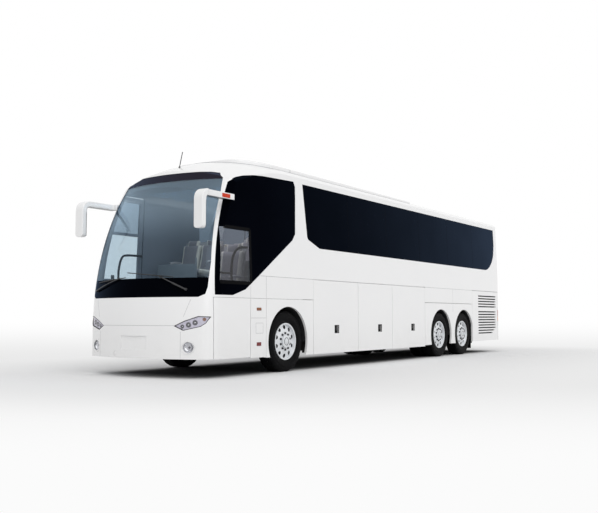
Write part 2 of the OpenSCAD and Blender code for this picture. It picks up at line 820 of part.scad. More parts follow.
// Rear wall with its rounded corners, window opening, lamp openings and lid opening.
module rear_ring(t) {
    difference() {
        intersection() {
            linear_extrude(cant_z) rear_plan2d(0);
            along_y(tail_y, rear_y + 1) lean2d(0);
        }
        intersection() {
            linear_extrude(big) rear_plan2d(t);
            along_y(tail_y - wall_t, rear_y + 1) lean2d(t);
        }
    }
}
module rear_wall() {
    half = lid_w / 2;
    color("white") difference() {
        rear_ring(wall_t);
        box(-big, big, 0, big, -1, rear_z);
        box(-rear_win_w, rear_win_w, 0, big, rear_win_z0, rear_win_z1);
        box(-half - half_gap, half + half_gap, 0, big, lid_z - half_gap, lid_top_z + panel_gap);
        both_sides() box(hw - tail_w, big, 0, big, tail_z, tail_z + tail_h);
    }
    // Hinge seat along the top of the lid.
    color("white") difference() {
        box(-half, half, rear_y - wall_t, rear_y - hinge_r, lid_top_z - hinge_r, lid_top_z + panel_gap + 1);
        rod([-lid_w, rear_y - hinge_r, lid_top_z - hinge_r], "x", hinge_r + run_gap, 2 * lid_w);
    }
}
module tail_lamps() {
    color("red") intersection() {
        rear_ring(panel_t);
        both_sides() box(hw - tail_w + glass_gap, big, 0, big, tail_z + glass_gap, tail_z + tail_h - glass_gap);
    }
}
// Rear lid over the engine, hung from its top edge.
module engine_lid() {
    color("white") along_x(-lid_w / 2, lid_w / 2) {
        translate([rear_y - panel_t, lid_z]) square([panel_t, lid_h - hinge_r]);
        translate([rear_y - hinge_r, lid_top_z - hinge_r]) circle(r = hinge_r, $fn = 48);
    }
}

// Fixed lower panels: front side, filler, front arch, rear arch and louvre panels.
module louvre_slots(z0, count, cut) {
    for (i = [0 : count - 1]) {
        z = z0 + i * louvre_pitch;
        box(0, big, arch_rear_end + louvre_lead, tail_y - louvre_tail - max(2 - i, 0) * cut, z, z + louvre_h);
    }
}
module plain_panel(y0, y1, z0, z1) {
    box(hw - panel_t, hw, y0 + half_gap, y1 - half_gap, z0, z1 - half_gap);
}
module arch_cut(y) {
    rod([0, y, axle_z], "x", arch_r, big, 96);
}
module panels_common() {
    difference() {
        plain_panel(arch_front_y, bay_y0, sill_z, mask_top_z);
        arch_cut(front_y);
    }
    difference() {
        plain_panel(bay_y1, arch_rear_end, mix(sill_z, sill_z + sill_rise, 0.625), arch_top_z);
        arch_cut(drive_y);
        arch_cut(tag_y);
    }
    difference() {
        plain_panel(arch_rear_end, tail_y, sill_z + sill_rise, waist_z);
        louvre_slots(louvre_top_z, louvre_top_n, 0);
        louvre_slots(louvre_low_z, louvre_low_n, louvre_cut);
    }
}
module lower_panels() {
    front_sill = mix(sill_z, sill_z + sill_rise, 0.25);
    color("white") {
        both_sides() panels_common();
        plain_panel(front_panel_y, arch_front_y, front_sill, mask_top_z);
        mirror([1, 0, 0]) plain_panel(door_y1 + half_gap, arch_front_y, front_sill, mask_top_z);
        intersection() {
            low_skin(0, panel_t);
            box(0, big, mask_y + half_gap, front_panel_y - half_gap, mask_z, mask_top_z - half_gap);
        }
    }
}
// Luggage flaps hung from a round top edge, each with a handle recess.
module flap(i) {
    y0 = mix(bay_y0, bay_y1, bay_share[i]) + half_gap;
    y1 = mix(bay_y0, bay_y1, bay_share[i + 1]) - half_gap;
    mid = mix(y0, y1, handle_share[i]);
    color("white") difference() {
        along_y(y0, y1) {
            translate([hw - panel_t, sill_z]) square([panel_t, flap_axis_z - sill_z]);
            translate([hw - hinge_r, flap_axis_z]) circle(r = hinge_r, $fn = 48);
        }
        box(hw - handle_d, big, mid - handle_w / 2, mid + handle_w / 2, handle_z, handle_z + handle_h);
    }
}
module flap_left_1() { flap(0); }
module flap_left_2() { flap(1); }
module flap_left_3() { flap(2); }
module flap_right_1() { mirror([1, 0, 0]) flap(0); }
module flap_right_2() { mirror([1, 0, 0]) flap(1); }
module flap_right_3() { mirror([1, 0, 0]) flap(2); }

// Cabin deck, driver's floor and entry steps, up to the walls and out to the thinner lower panels.
post_y = arch_front_y - 210;
step_z = door_z + 40;
module floor() {
    in_x = hw - wall_t - eps;
    out_x = hw - panel_t - eps;
    low = cab_floor_z - deck_t;
    wall_y = arch_front_y + half_gap;
    wall_y1 = wall_y + deck_t;
    end_y = tail_y - 2 * wall_t;
    panel_top = mask_top_z - deck_t / 2;
    step_h = (cab_floor_z - step_z) / 2;
    color("gray") {
        box(-in_x, in_x, wall_y, end_y, deck_z - deck_t, deck_z);
        box(-in_x, in_x, wall_y, wall_y1, low, deck_z);
        both_sides() box(in_x - 1, out_x, wall_y, wall_y1, low, panel_top);
        both_sides() box(in_x - 1, out_x, arch_rear_end + panel_gap, end_y, deck_z - deck_t, deck_z);
        box(step_x, out_x, cab_y, wall_y1, low, cab_floor_z);
        // Entry: inner wall, two steps, post beside the arch and the step up to the aisle.
        box(step_x, step_x + deck_t, cab_y, wall_y, step_z, cab_floor_z);
        box(-out_x + deck_t / 2, step_x + 1, cab_y, post_y + 1, step_z, step_z + deck_t);
        box(-out_x + seat_d / 2, step_x + 1, cab_y, post_y + 1, step_z + deck_t - 1, step_z + step_h);
        box(-out_x, step_x + 1, post_y, wall_y + 1, step_z, panel_top);
        box(-in_x, step_x + 1, post_y, wall_y + 1, panel_top - 1, deck_z);
        box(step_x, -step_x, post_y - deck_t, wall_y + 1, cab_floor_z - 1, mix(cab_floor_z, deck_z, 0.5));
    }
}
// Luggage floor, bulkheads, posts, rails and jacking pads.
module rail(y0, y1, z0, z1) {
    box(rail_x - rail_w / 2, rail_x + rail_w / 2, y0, y1, z0, z1);
}
module underframe() {
    in_x = hw - panel_t - bulkhead_lap;
    y0 = bay_y0 - bulkhead_lap;
    y1 = bay_y1 + bulkhead_lap;
    top = deck_z - deck_t;
    color("dimgray") {
        box(-in_x, in_x, y0, y1, bay_floor_z - deck_t, bay_floor_z);
        box(-in_x, in_x, y0, y0 + deck_t, bay_floor_z - 1, top);
        box(-in_x, in_x, y1 - deck_t, y1, bay_floor_z - 1, top);
        both_sides() {
            for (i = [1, 2]) {
                y = mix(bay_y0, bay_y1, bay_share[i]);
                box(in_x - post_w, in_x, y - post_w / 2, y + post_w / 2, bay_floor_z - 1, top);
            }
            for (y = [y0 + pad_back, y1 - pad_back])
                box(hw - pad_in - pad_w, hw - pad_in, y - pad_w / 2, y + pad_w / 2,
                    pad_z, bay_floor_z - deck_t + 1);
            // Front rails up to the mask, their webs under the driver's floor, and the rear rails.
            intersection() {
                rail(nose_y, y0 + 1, rail_z, rail_z + rail_h);
                union() {
                    upright(wall_t + eps, rake_z);
                    rail(cab_y, y0 + 1, rail_z, rail_z + rail_h);
                }
            }
            rail(cab_y + deck_t, arch_front_y, rail_z + rail_h - 1, cab_floor_z - deck_t);
            rail(y1 - 1, tail_y - 3 * wall_t, rear_rail_z, top);
            // Bracket behind the rear arch panel.
            box(in_x - 1, hw - panel_t - eps, bay_y1 + panel_gap, y1, bay_floor_z, arch_top_z - bulkhead_lap);
        }
    }
}
// Arch liners and the flaps behind the rear wheels.
liner_z = axle_z - 20;
module liner(y, x0) {
    intersection() {
        difference() {
            rod([x0, y, axle_z], "x", arch_r + liner_t, hw - panel_t - x0, 96);
            arch_cut(y);
        }
        box(0, big, -big, big, liner_z, big);
    }
}
module wheel_arches() {
    color("black") both_sides() {
        liner(front_y, wheel_x - tyre_w / 2 - liner_in);
        difference() {
            for (y = [drive_y, tag_y]) liner(y, inner_x - tyre_w / 2 - 1);
            arch_cut(drive_y);
            arch_cut(tag_y);
        }
        box(wheel_x - tyre_w / 2, hw - panel_t - half_gap, tag_y + arch_r, tag_y + arch_r + liner_t,
            sill_z, liner_z);
    }
}

// Glass.
module windscreen() {
    color("lightblue", 0.5) intersection() {
        front_skin(glass_in, glass_in + glass_t);
        along_y(nose_y - wall_t, screen_y1) screen2d(glass_gap);
    }
}
module side_windows() {
    color("black", 0.5) {
        intersection() {
            front_skin(glass_in, glass_in + glass_t);
            along_x(0, big) driver2d(glass_gap);
        }
        intersection() {
            along_y(shell_y, tail_y) difference() {
                lean2d(glass_in);
                lean2d(glass_in + glass_t);
            }
            both_sides() along_x(wall_t, big) difference() {
                band2d(glass_gap);
                for (i = [1 : pane_count - 1])
                    translate([mix(band_y0, band_y1, i / pane_count) - pane_split / 2, 0])
                        square([pane_split, big]);
            }
        }
    }
}
module rear_window() {
    half = rear_win_w - glass_gap;
    color("black", 0.5) box(-half, half, rear_y - glass_in - glass_t, rear_y - glass_in,
                            rear_win_z0 + glass_gap, rear_win_z1 - glass_gap);
}

// Lamps.
module front_lamps() {
    color("white", 0.6) {
        intersection() {
            low_skin(lamp_sink, wall_t);
            lamp_reach(glass_gap);
        }
        intersection() {
            low_skin(fog_sink, wall_t);
            fog_reach(glass_gap);
        }
    }
}
module marker_lamps() {
    y = arch_front_y - marker_y;
    half = reflector_w / 2;
    color("orange") both_sides() {
        box(hw, hw + marker_t, y - marker_w / 2, y + marker_w / 2, marker_z - marker_t, marker_z + marker_t);
        box(hw, hw + marker_t / 2, y - half, y + half, reflector_z - half, reflector_z + half);
    }
}

// Mirrors on curved arms ahead of the front pillars: upright head, quarter bend, then the arm.
bend_y = head_y + head_d / 2 + bend_r;
bend_z = head_z + head_h;
arm_z0 = bend_z + bend_r;
arm_up = arm_z0 + head_d / 2 - driver_foot_z;
arm_root_y = round(pillar_y + pillar_r - sqrt(pow(pillar_r, 2) - pow(arm_up, 2)));
module mirror_side2d() {
    translate([bend_y - bend_r - head_d, head_z]) square([head_d, head_h]);
    intersection() {
        translate([bend_y, bend_z]) difference() {
            circle(r = bend_r + head_d, $fn = 64);
            circle(r = bend_r, $fn = 64);
        }
        translate([bend_y - bend_r - head_d, bend_z]) square(bend_r + head_d);
    }
    translate([bend_y - 1, arm_z0]) square([arm_root_y + arm_lap - bend_y + 1, head_d]);
}
// Head seen from the front, with round lower corners.
module head_front2d(inner) {
    translate([inner, head_z + head_r]) square([head_w, big]);
    translate([inner + head_r, head_z]) square([head_w - 2 * head_r, 2 * head_r]);
    for (x = [inner + head_r, inner + head_w - head_r])
        translate([x, head_z + head_r]) circle(r = head_r, $fn = 48);
}
module mirror_body() {
    glass_y = bend_y - bend_r;
    inner = head_x - head_w / 2;
    difference() {
        union() {
            intersection() {
                along_x(inner, inner + head_w) mirror_side2d();
                along_y(-big, bend_y) head_front2d(inner);
            }
            intersection() {
                along_x(inner, inner + arm_w) mirror_side2d();
                box(0, big, bend_y - 1, big, 0, big);
            }
        }
        box(0, big, glass_y - mirror_t, glass_y + mirror_t, head_z + 2 * mirror_rim, bend_z - 3 * mirror_rim);
    }
}
// The right arm ends ahead of the door, in a foot that reaches in to the pillar.
module mirrors() {
    inner = head_x - head_w / 2;
    root_y = arm_root_y + door_lead;
    color("white") {
        difference() {
            mirror_body();
            front_solid(-eps, shell_y);
        }
        mirror([1, 0, 0]) difference() {
            union() {
                mirror_body();
                box(inner - foot_w, inner + 1, root_y - 1.5 * foot_w, root_y, arm_z0, arm_z0 + head_d);
            }
            front_solid(-eps, shell_y);
            along_x(0, big) ahead2d(door_lead - door_pass);
        }
    }
}
module mirror_glass() {
    half = head_w / 2 - mirror_rim;
    glass_y = bend_y - bend_r;
    color("gray") both_sides() box(head_x - half, head_x + half, glass_y - mirror_t, glass_y,
                                   head_z + 2.5 * mirror_rim, bend_z - 3.5 * mirror_rim);
}
// Aerial with its foot square to the cap's slope and its rod leaning back.
module antenna() {
    slope = asin((cap_y - header_y - aerial_back) / cap_r);
    color("black") translate([0, cap_y, cap_z]) rotate([slope, 0, 0]) translate([0, 0, cap_r + eps]) {
        cylinder(r = aerial_foot_r, h = aerial_foot_r, $fn = 32);
        translate([0, 0, aerial_foot_r / 2]) rotate([-slope - 15, 0, 0])
            cylinder(r = aerial_r, h = aerial_l, $fn = 24);
    }
}

// Cabin pieces. Dashboard profile: shares of its depth behind the nose and of its height.
dash_edge = [[0, 0], [1, 0], [1.05, 0.69], [0.95, 1], [0.66, 0.97], [0, 0.89]];
module dashboard() {
    color("dimgray") intersection() {
        upright(2 * wall_t - 10, mask_top_z);
        along_x(step_x + wall_t, hw - 2 * wall_t) outline2d(dash_edge, [nose_y, cab_floor_z],
            [cab_y + 10, mask_top_z - 10]);
    }
}
module steering_wheel() {
    color("black") difference() {
        translate([steer_x, cab_y + steer_back, cab_floor_z + steer_rise]) rotate([-steer_tilt, 0, 0]) {
            rotate_extrude($fn = 64) translate([steer_r, 0]) circle(r = steer_tube, $fn = 24);
            for (a = [30, 150, 270]) rotate([0, 0, a])
                box(0, steer_r, -steer_tube * 0.9, steer_tube * 0.9, -steer_tube / 2, steer_tube / 2);
            cylinder(r = 1.5 * column_r, h = 2 * steer_tube, center = true, $fn = 36);
            translate([0, 0, -2 * steer_rise]) cylinder(r = column_r, h = 2 * steer_rise, $fn = 36);
        }
        box(0, big, -big, big, -big, cab_floor_z);
    }
}
// Seat seen from the side: shares of its depth and of its height.
seat_edge = [[0, 0.295], [0.03, 0.4], [0.67, 0.385], [0.875, 1], [1, 0.99], [0.86, 0.295]];
module seat(x0, x1, y, z, h) {
    leg = (x1 - x0) / 5;
    mid = (x0 + x1) / 2;
    along_x(x0, x1) outline2d(seat_edge, [y, z], [y + seat_d, z + h]);
    box(mid - leg / 2, mid + leg / 2, y + 0.23 * seat_d, y + 0.7 * seat_d, z, z + 0.296 * h);
}
module driver_seat() {
    y = cab_y + 2 * steer_r + steer_tube;
    color("tan") seat(steer_x - driver_w / 2, steer_x + driver_w / 2, y, cab_floor_z, driver_h);
}
module seats() {
    x1 = hw - wall_t - seat_wall;
    color("tan") for (i = [0 : seat_rows - 1])
        both_sides() seat(x1 - seat_w, x1, seat_y0 + i * seat_pitch, deck_z, seat_h);
}
module engine() {
    z0 = rear_rail_z - engine_h;
    color("gray") box(-engine_w / 2, engine_w / 2, engine_y, tail_y - engine_tail, z0, rear_rail_z);
}

// Axles: front beam with kingpin eyes, drive axle with its gear case, and tag axle.
module axles() {
    color("dimgray") {
        difference() {
            union() {
                box(-kingpin_x, kingpin_x, front_y - beam_w, front_y + beam_w, axle_z - eye_h, axle_z + eye_h);
                both_sides() rod([kingpin_x, front_y, axle_z - eye_h], "z", 2 * kingpin_r + 4, 2 * eye_h);
                both_sides() rod([rail_x, front_y, axle_z], "z", spring_r, rail_z - axle_z);
            }
            both_sides() rod([kingpin_x, front_y, 0], "z", kingpin_r + run_gap, roof_z);
        }
        rod([-hub_in, drive_y, axle_z], "x", drive_r, 2 * hub_in);
        rod([-case_r * 0.65, drive_y, axle_z], "x", case_r, case_r * 1.3);
        both_sides() for (y = [drive_y, tag_y])
            rod([rail_x, y, axle_z], "z", spring_r, rear_rail_z - axle_z);
        rod([-tag_in, tag_y, axle_z], "x", tag_r, 2 * tag_in);
        rod([-wheel_x - hub_len, tag_y, axle_z], "x", spindle_r, 2 * (wheel_x + hub_len));
        rod([0, drive_y + case_r * 0.75, axle_z + case_r * 0.6], "y", shaft_r,
            engine_y - drive_y - case_r * 0.75);
    }
}
// Steering knuckles: fork, kingpin, web, spindle and the steering arm with its pin.
fork_z0 = axle_z - eye_h - run_gap - fork_h;
fork_z1 = axle_z + eye_h + run_gap;
fork_w = 2 * kingpin_r + 2;
web_x = kingpin_x + fork_w + 12;
tie_gap = 3;
tie_end = 30;
module steering_arm() {
    tip_y = front_y + steer_arm;
    box(kingpin_x - tie_end, kingpin_x + tie_end, front_y, tip_y, fork_z0, fork_z0 + fork_h);
    rod([kingpin_x, tip_y, fork_z0], "z", tie_end, fork_h);
    rod([kingpin_x, tip_y, fork_z0 - tie_gap - tie_end - tie_gap], "z", tie_pin_r, tie_end + 2 * tie_gap + 1);
}
module knuckle() {
    web_x1 = web_x + fork_h + tie_gap;
    color("gray") {
        for (z = [fork_z0, fork_z1]) {
            rod([kingpin_x, front_y, z], "z", fork_w, fork_h);
            box(kingpin_x, web_x1, front_y - fork_w, front_y + fork_w, z, z + fork_h);
        }
        rod([kingpin_x, front_y, fork_z0], "z", kingpin_r, fork_z1 - fork_z0 + fork_h);
        box(web_x, web_x1, front_y - fork_w, front_y + fork_w, fork_z0, fork_z1 + fork_h);
        rod([web_x1 - 1, front_y, axle_z], "x", spindle_r, wheel_x + hub_len - web_x1 + 1);
        steering_arm();
    }
}
module knuckle_left() { knuckle(); }
module knuckle_right() { mirror([1, 0, 0]) knuckle(); }
module tie_rod() {
    z = fork_z0 - tie_gap - tie_end;
    y = front_y + steer_arm;
    color("dimgray") difference() {
        union() {
            both_sides() rod([kingpin_x, y, z], "z", tie_end, tie_end);
            rod([-kingpin_x, y, z + tie_end / 2], "x", tie_r, 2 * kingpin_x);
        }
        both_sides() rod([kingpin_x, y, z - tie_end], "z", tie_pin_r + run_gap, 3 * tie_end);
    }
}

// Wheels, drawn with the radius first and then the distance outward from the tyre's middle.
// Half of the tyre's section: shares of its height above the bead and of its half width.
tyre_edge = [[0, 0.809], [0.175, 0.971], [0.6, 1], [0.89, 0.957], [0.975, 0.829], [1, 0.686]];
module tyre2d() {
    bead_r = rim_r - bead_d;
    rotate(-90) mirrored2d([for (e = tyre_edge) [e[1] * tyre_w / 2, mix(bead_r, tyre_r, e[0])]]);
}
module rim2d(dish) {
    w = tyre_w / 2 - bead_in;
    barrel = rim_r - bead_d - eps;
    seat_r = hub_r + 2 * rim_t;
    // Barrel and flange, outer face of the disc, hub seat, cap, then the disc's inner face.
    polygon([[barrel - rim_t, 2 - w], [barrel, 2 - w], [barrel, w + 0.8], [rim_r, w + 4.5], [rim_r, w + 12],
        [barrel - rim_t / 2, w + 12], [barrel - rim_t + 2, dish + 10], [barrel - 2 * rim_t, dish + 16],
        [seat_r, dish + 34], [hub_r, dish + 38], [hub_r, dish + 62], [0.4 * hub_r, dish + 70], [0, dish + 70],
        [0, dish + 20], [seat_r, dish + 14], [barrel - 2 * rim_t - 2, dish - 2], [barrel - rim_t, dish - 8]]);
}
module hand_holes(dish) {
    for (i = [0 : hand_count - 1]) rotate([0, 0, i * 360 / hand_count])
        translate([hand_pitch_r, 0, dish - 2 * hand_r]) cylinder(r = hand_r, h = 5 * hand_r, $fn = 32);
}
module on_axle(y, x) {
    translate([x, y, axle_z]) rotate([0, 90, 0]) children();
}
module tyre_solid() {
    color("black") rotate_extrude($fn = 96) tyre2d();
}
module single_rim() {
    color("silver") difference() {
        union() {
            rotate_extrude($fn = 96) rim2d(single_dish);
            translate([0, 0, hub_len / 2])
                cylinder(r = hub_r - 10, h = single_dish + rim_t - hub_len / 2, $fn = 48);
        }
        hand_holes(single_dish);
        translate([0, 0, -tyre_w]) cylinder(r = spindle_r + run_gap, h = tyre_w + hub_len + run_gap, $fn = 48);
    }
}
// Twin wheel: outer rim, plain inner rim with its disc, and the hub between them.
module twin_rim() {
    hub_z = -twin_pitch - hub_len;
    ring_w = tyre_w - 2 * bead_in - 4;
    color("silver") difference() {
        union() {
            rotate_extrude($fn = 96) rim2d(twin_dish);
            rotate_extrude($fn = 96) translate([rim_r - bead_d - rim_t - eps, -twin_pitch - ring_w / 2])
                square([rim_t, ring_w]);
            translate([0, 0, hub_z]) cylinder(r = 1.4 * hub_r, h = rim_t + twin_dish - 3 - hub_z, $fn = 48);
            translate([0, 0, -twin_pitch + hub_len]) cylinder(r = rim_r - hub_len, h = rim_t - 4, $fn = 96);
        }
        hand_holes(twin_dish);
    }
}
module rim_front_left() { on_axle(front_y, wheel_x) single_rim(); }
module rim_front_right() { mirror([1, 0, 0]) rim_front_left(); }
module rim_tag_left() { on_axle(tag_y, wheel_x) single_rim(); }
module rim_tag_right() { mirror([1, 0, 0]) rim_tag_left(); }
module rim_drive_left() { on_axle(drive_y, wheel_x) twin_rim(); }
module rim_drive_right() { mirror([1, 0, 0]) rim_drive_left(); }
module tyre_front_left() { on_axle(front_y, wheel_x) tyre_solid(); }
module tyre_front_right() { mirror([1, 0, 0]) tyre_front_left(); }
module tyre_tag_left() { on_axle(tag_y, wheel_x) tyre_solid(); }
module tyre_tag_right() { mirror([1, 0, 0]) tyre_tag_left(); }
module tyre_drive_left() { for (x = [wheel_x, inner_x]) on_axle(drive_y, x) tyre_solid(); }
module tyre_drive_right() { mirror([1, 0, 0]) tyre_drive_left(); }

// Passenger door on the right: leaf with two lugs, panes and the swing arm that carries it.
lug_rise = 22;
lug_y = pivot_y + door_arm;
module door() {
    color("white") difference() {
        union() {
            intersection() {
                front_skin(0, panel_t);
                along_x(-big, pivot_x + lug_r) door2d(0);
            }
            for (z = arm_z) {
                z0 = z + lug_rise;
                rod([pivot_x, lug_y, z0], "z", lug_r, lug_h);
                box(-hw + panel_t - 1, pivot_x, lug_y - lug_r + 5, lug_y + lug_r - 5, z0, z0 + lug_h);
            }
        }
        along_x(-big, 0) door_panes2d(0);
        for (z = arm_z) rod([pivot_x, lug_y, z], "z", pin_r + run_gap, 4 * lug_h);
    }
}
module door_glass() {
    color("lightblue", 0.5) intersection() {
        front_skin(glass_in, glass_in + glass_t);
        along_x(-big, 0) door_panes2d(glass_gap);
    }
}
module door_arm() {
    foot = step_z + deck_t + eps;
    color("dimgray") {
        rod([pivot_x, pivot_y, foot], "z", post_r, door_z + 0.482 * door_h - foot);
        for (z = arm_z) {
            box(pivot_x - lug_h * 0.6, pivot_x + lug_h * 0.6, pivot_y, lug_y, z - lug_h / 2, z + lug_h / 2);
            rod([pivot_x, lug_y, z - lug_h / 2], "z", lug_r, lug_h);
            rod([pivot_x, lug_y, z], "z", pin_r, 2 * lug_h);
        }
    }
}
// Socket for the screw-in towing eye, behind the mask, hung from the right rail.
module tow_socket() {
    y0 = nose_y + tow_back;
    y1 = y0 + tow_depth + wall_t;
    color("gray") difference() {
        union() {
            rod([-tow_x, y0, tow_z], "y", tow_r - 4, y1 - y0);
            box(-tow_x - tow_r, -tow_x + tow_r, y1 - 10, y1 + panel_t, tow_z - tow_r, rail_z);
        }
        rod([-tow_x, y0 - 1, tow_z], "y", tow_bore_r, tow_depth + 1);
    }
}

front_shell();
front_mask();
side_walls();
roof();
roof_pod();
rear_wall();
lower_panels();
floor();
underframe();
wheel_arches();
windscreen();
side_windows();
rear_window();
front_lamps();
tail_lamps();
marker_lamps();
mirrors();
mirror_glass();
antenna();
dashboard();
steering_wheel();
driver_seat();
seats();
engine();
axles();
knuckle_left();
knuckle_right();
tie_rod();
rim_front_left();
rim_front_right();
rim_drive_left();
rim_drive_right();
rim_tag_left();
rim_tag_right();
tyre_front_left();
tyre_front_right();
tyre_drive_left();
tyre_drive_right();
tyre_tag_left();
tyre_tag_right();
flap_left_1();
flap_left_2();
flap_left_3();
flap_right_1();
flap_right_2();
flap_right_3();
door();
door_glass();
door_arm();
engine_lid();
tow_socket();
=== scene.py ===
import math

import bpy
import numpy as np
from mathutils import Matrix, Vector
from mathutils.bvhtree import BVHTree


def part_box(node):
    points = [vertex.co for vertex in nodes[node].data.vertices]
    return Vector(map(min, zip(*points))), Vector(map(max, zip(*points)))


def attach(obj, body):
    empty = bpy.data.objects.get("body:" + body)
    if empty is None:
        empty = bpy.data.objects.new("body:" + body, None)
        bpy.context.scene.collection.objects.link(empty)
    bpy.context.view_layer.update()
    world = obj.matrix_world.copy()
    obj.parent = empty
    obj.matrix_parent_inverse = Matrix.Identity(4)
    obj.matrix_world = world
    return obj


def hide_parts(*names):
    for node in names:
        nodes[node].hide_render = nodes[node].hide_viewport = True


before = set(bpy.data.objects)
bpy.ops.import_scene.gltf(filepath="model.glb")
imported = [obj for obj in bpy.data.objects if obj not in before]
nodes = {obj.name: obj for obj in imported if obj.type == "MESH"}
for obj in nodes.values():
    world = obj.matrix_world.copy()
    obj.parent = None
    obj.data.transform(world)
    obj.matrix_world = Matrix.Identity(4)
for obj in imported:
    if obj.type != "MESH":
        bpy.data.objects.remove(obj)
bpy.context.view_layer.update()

# Places and sizes shared with the part's source, in metres.
AXLES = {"front": -3.86, "drive": 2.36, "tag": 3.71}  # y of each axle
AXLE_Z = 0.5
TYRE_X = 1.091  # middle of the outer tyre
TWIN_PITCH = 0.33
DECK_Z = 1.35
SEAT_ROWS, SEAT_DEPTH, SEAT_H, SEAT_PAIR_W = 12, 0.64, 1.12, 0.88
HAND_HOLES, HAND_PITCH_R = 10, 0.236
FOG_X, FOG_Z, FOG_R = 0.95, 0.457, 0.08
TOW_X, TOW_Z = -0.40, 0.345
MARKER_Y, MARKER_Z, REFLECTOR_Z = -4.69, 1.03, 0.48
PANE_GAPS = (-1.788, -0.240, 1.312, 2.860, 4.408)  # y between the fixed side panes
SIDES = ((1, "left"), (-1, "right"))  # sign of x, name

# Faces along a cube's edge: few for plain boxes, more for cushions.
PLAIN, FINE = 4, 10


def cube_grid(n):
    """Surface of the cube from -1 to 1, n quads along each edge, denser towards the edges."""
    index, verts, faces = {}, [], []
    for axis in range(3):
        for side in (0, n):
            for i in range(n):
                for j in range(n):
                    quad = []
                    for a, b in ((i, j), (i + 1, j), (i + 1, j + 1), (i, j + 1)):
                        p = [0, 0, 0]
                        p[axis], p[(axis + 1) % 3], p[(axis + 2) % 3] = side, a, b
                        key = tuple(p)
                        if key not in index:
                            index[key] = len(verts)
                            verts.append(key)
                        quad.append(index[key])
                    faces.append(quad if side else quad[::-1])
    u = np.array(verts, float) * 2 / n - 1
    return np.sign(u) * (1 - (1 - np.abs(u)) ** 1.4), faces


GRIDS = {n: cube_grid(n) for n in (PLAIN, FINE)}


def rounded(half, radius, n=PLAIN):
    """Box with rounded edges around the origin."""
    u, faces = GRIDS[n]
    half = np.array(half, float)
    radius = min(radius, half.min() * 0.98)
    p = u * half
    core = np.clip(p, radius - half, half - radius)
    d = p - core
    length = np.maximum(np.linalg.norm(d, axis=1, keepdims=True), 1e-9)
    return core + d / length * radius * (np.abs(d).max(axis=1, keepdims=True) > 1e-7), faces


def box(lo, hi, radius=0.004):
    """Box with rounded edges between two corners."""
    lo, hi = np.array(lo, float), np.array(hi, float)
    verts, faces = rounded((hi - lo) / 2, radius)
    return verts + (lo + hi) / 2, faces


def turned(shape, matrix):
    """Shape after the matrix."""
    verts, faces = shape
    m = np.array(matrix)
    return np.array(verts) @ m[:3, :3].T + m[:3, 3], faces


def mirrored(shape):
    """Same shape on the other side of the coach."""
    verts, faces = shape
    return np.array(verts) * (-1, 1, 1), [f[::-1] for f in faces]


def on_side(shape, s):
    """Shape of the left side, or its mirror image where s is -1."""
    return shape if s > 0 else mirrored(shape)


def tipped(place, degrees):
    """Turn about X, then move to place."""
    return Matrix.Translation(place) @ Matrix.Rotation(math.radians(degrees), 4, "X")


def aimed(place, angle):
    """Turn about Z, then move to place."""
    return Matrix.Translation(place) @ Matrix.Rotation(angle, 4, "Z")


def smooth_path(points, steps=8):
    """Curve through the points, with steps pieces between two of them."""
    p = [Vector(q) for q in points]
    p = [2 * p[0] - p[1]] + p + [2 * p[-1] - p[-2]]
    out = []
    for i in range(1, len(p) - 2):
        for k in range(steps):
            t = k / steps
            out.append(
                0.5 * (2 * p[i] + (p[i + 1] - p[i - 1]) * t
                       + (2 * p[i - 1] - 5 * p[i] + 4 * p[i + 1] - p[i + 2]) * t * t
                       + (3 * p[i] - p[i - 1] - 3 * p[i + 1] + p[i + 2]) * t ** 3))
    return out + [p[-2]]


def closed_bar(verts, n):
    """Bar with closed ends through rings of n points each."""
    faces = []
    for start in range(0, len(verts) - n, n):
        for k in range(n):
            a, b = start + k, start + (k + 1) % n
            faces.append([a, b, b + n, a + n])
    faces.append(list(range(n))[::-1])
    faces.append([len(verts) - n + k for k in range(n)])
    return np.array(verts), faces


def tube(points, radius, n=12, flat=1.0):
    """Round bar along the points. flat is its height over its width."""
    pts = [Vector(q) for q in points]
    verts, side = [], None
    for i, p in enumerate(pts):
        along = (pts[min(i + 1, len(pts) - 1)] - pts[max(i - 1, 0)]).normalized()
        if side is None:
            side = along.orthogonal()
        side = (side - along * side.dot(along)).normalized()
        up = along.cross(side)
        for k in range(n):
            a = 2 * math.pi * k / n
            verts.append(p + (side * math.cos(a) + up * math.sin(a) * flat) * radius)
    return closed_bar(verts, n)


def revolve(profile, n, close=False, notch=None):
    """Profile of (radius, x) turned about the X axis. notch(k, r, x) may change the radius at step k."""
    verts, faces = [], []
    m = len(profile)
    for k in range(n):
        a = 2 * math.pi * k / n
        for r, x in profile:
            if notch:
                r = notch(k, r, x)
            verts.append((x, r * math.cos(a), r * math.sin(a)))
    for k in range(n):
        q = (k + 1) % n
        for i in range(m if close else m - 1):
            j = (i + 1) % m
            faces.append([k * m + i, k * m + j, q * m + j, q * m + i])
    return np.array(verts), faces


def show(name, data):
    """New object in the scene."""
    obj = bpy.data.objects.new(name, data)
    bpy.context.scene.collection.objects.link(obj)
    return obj


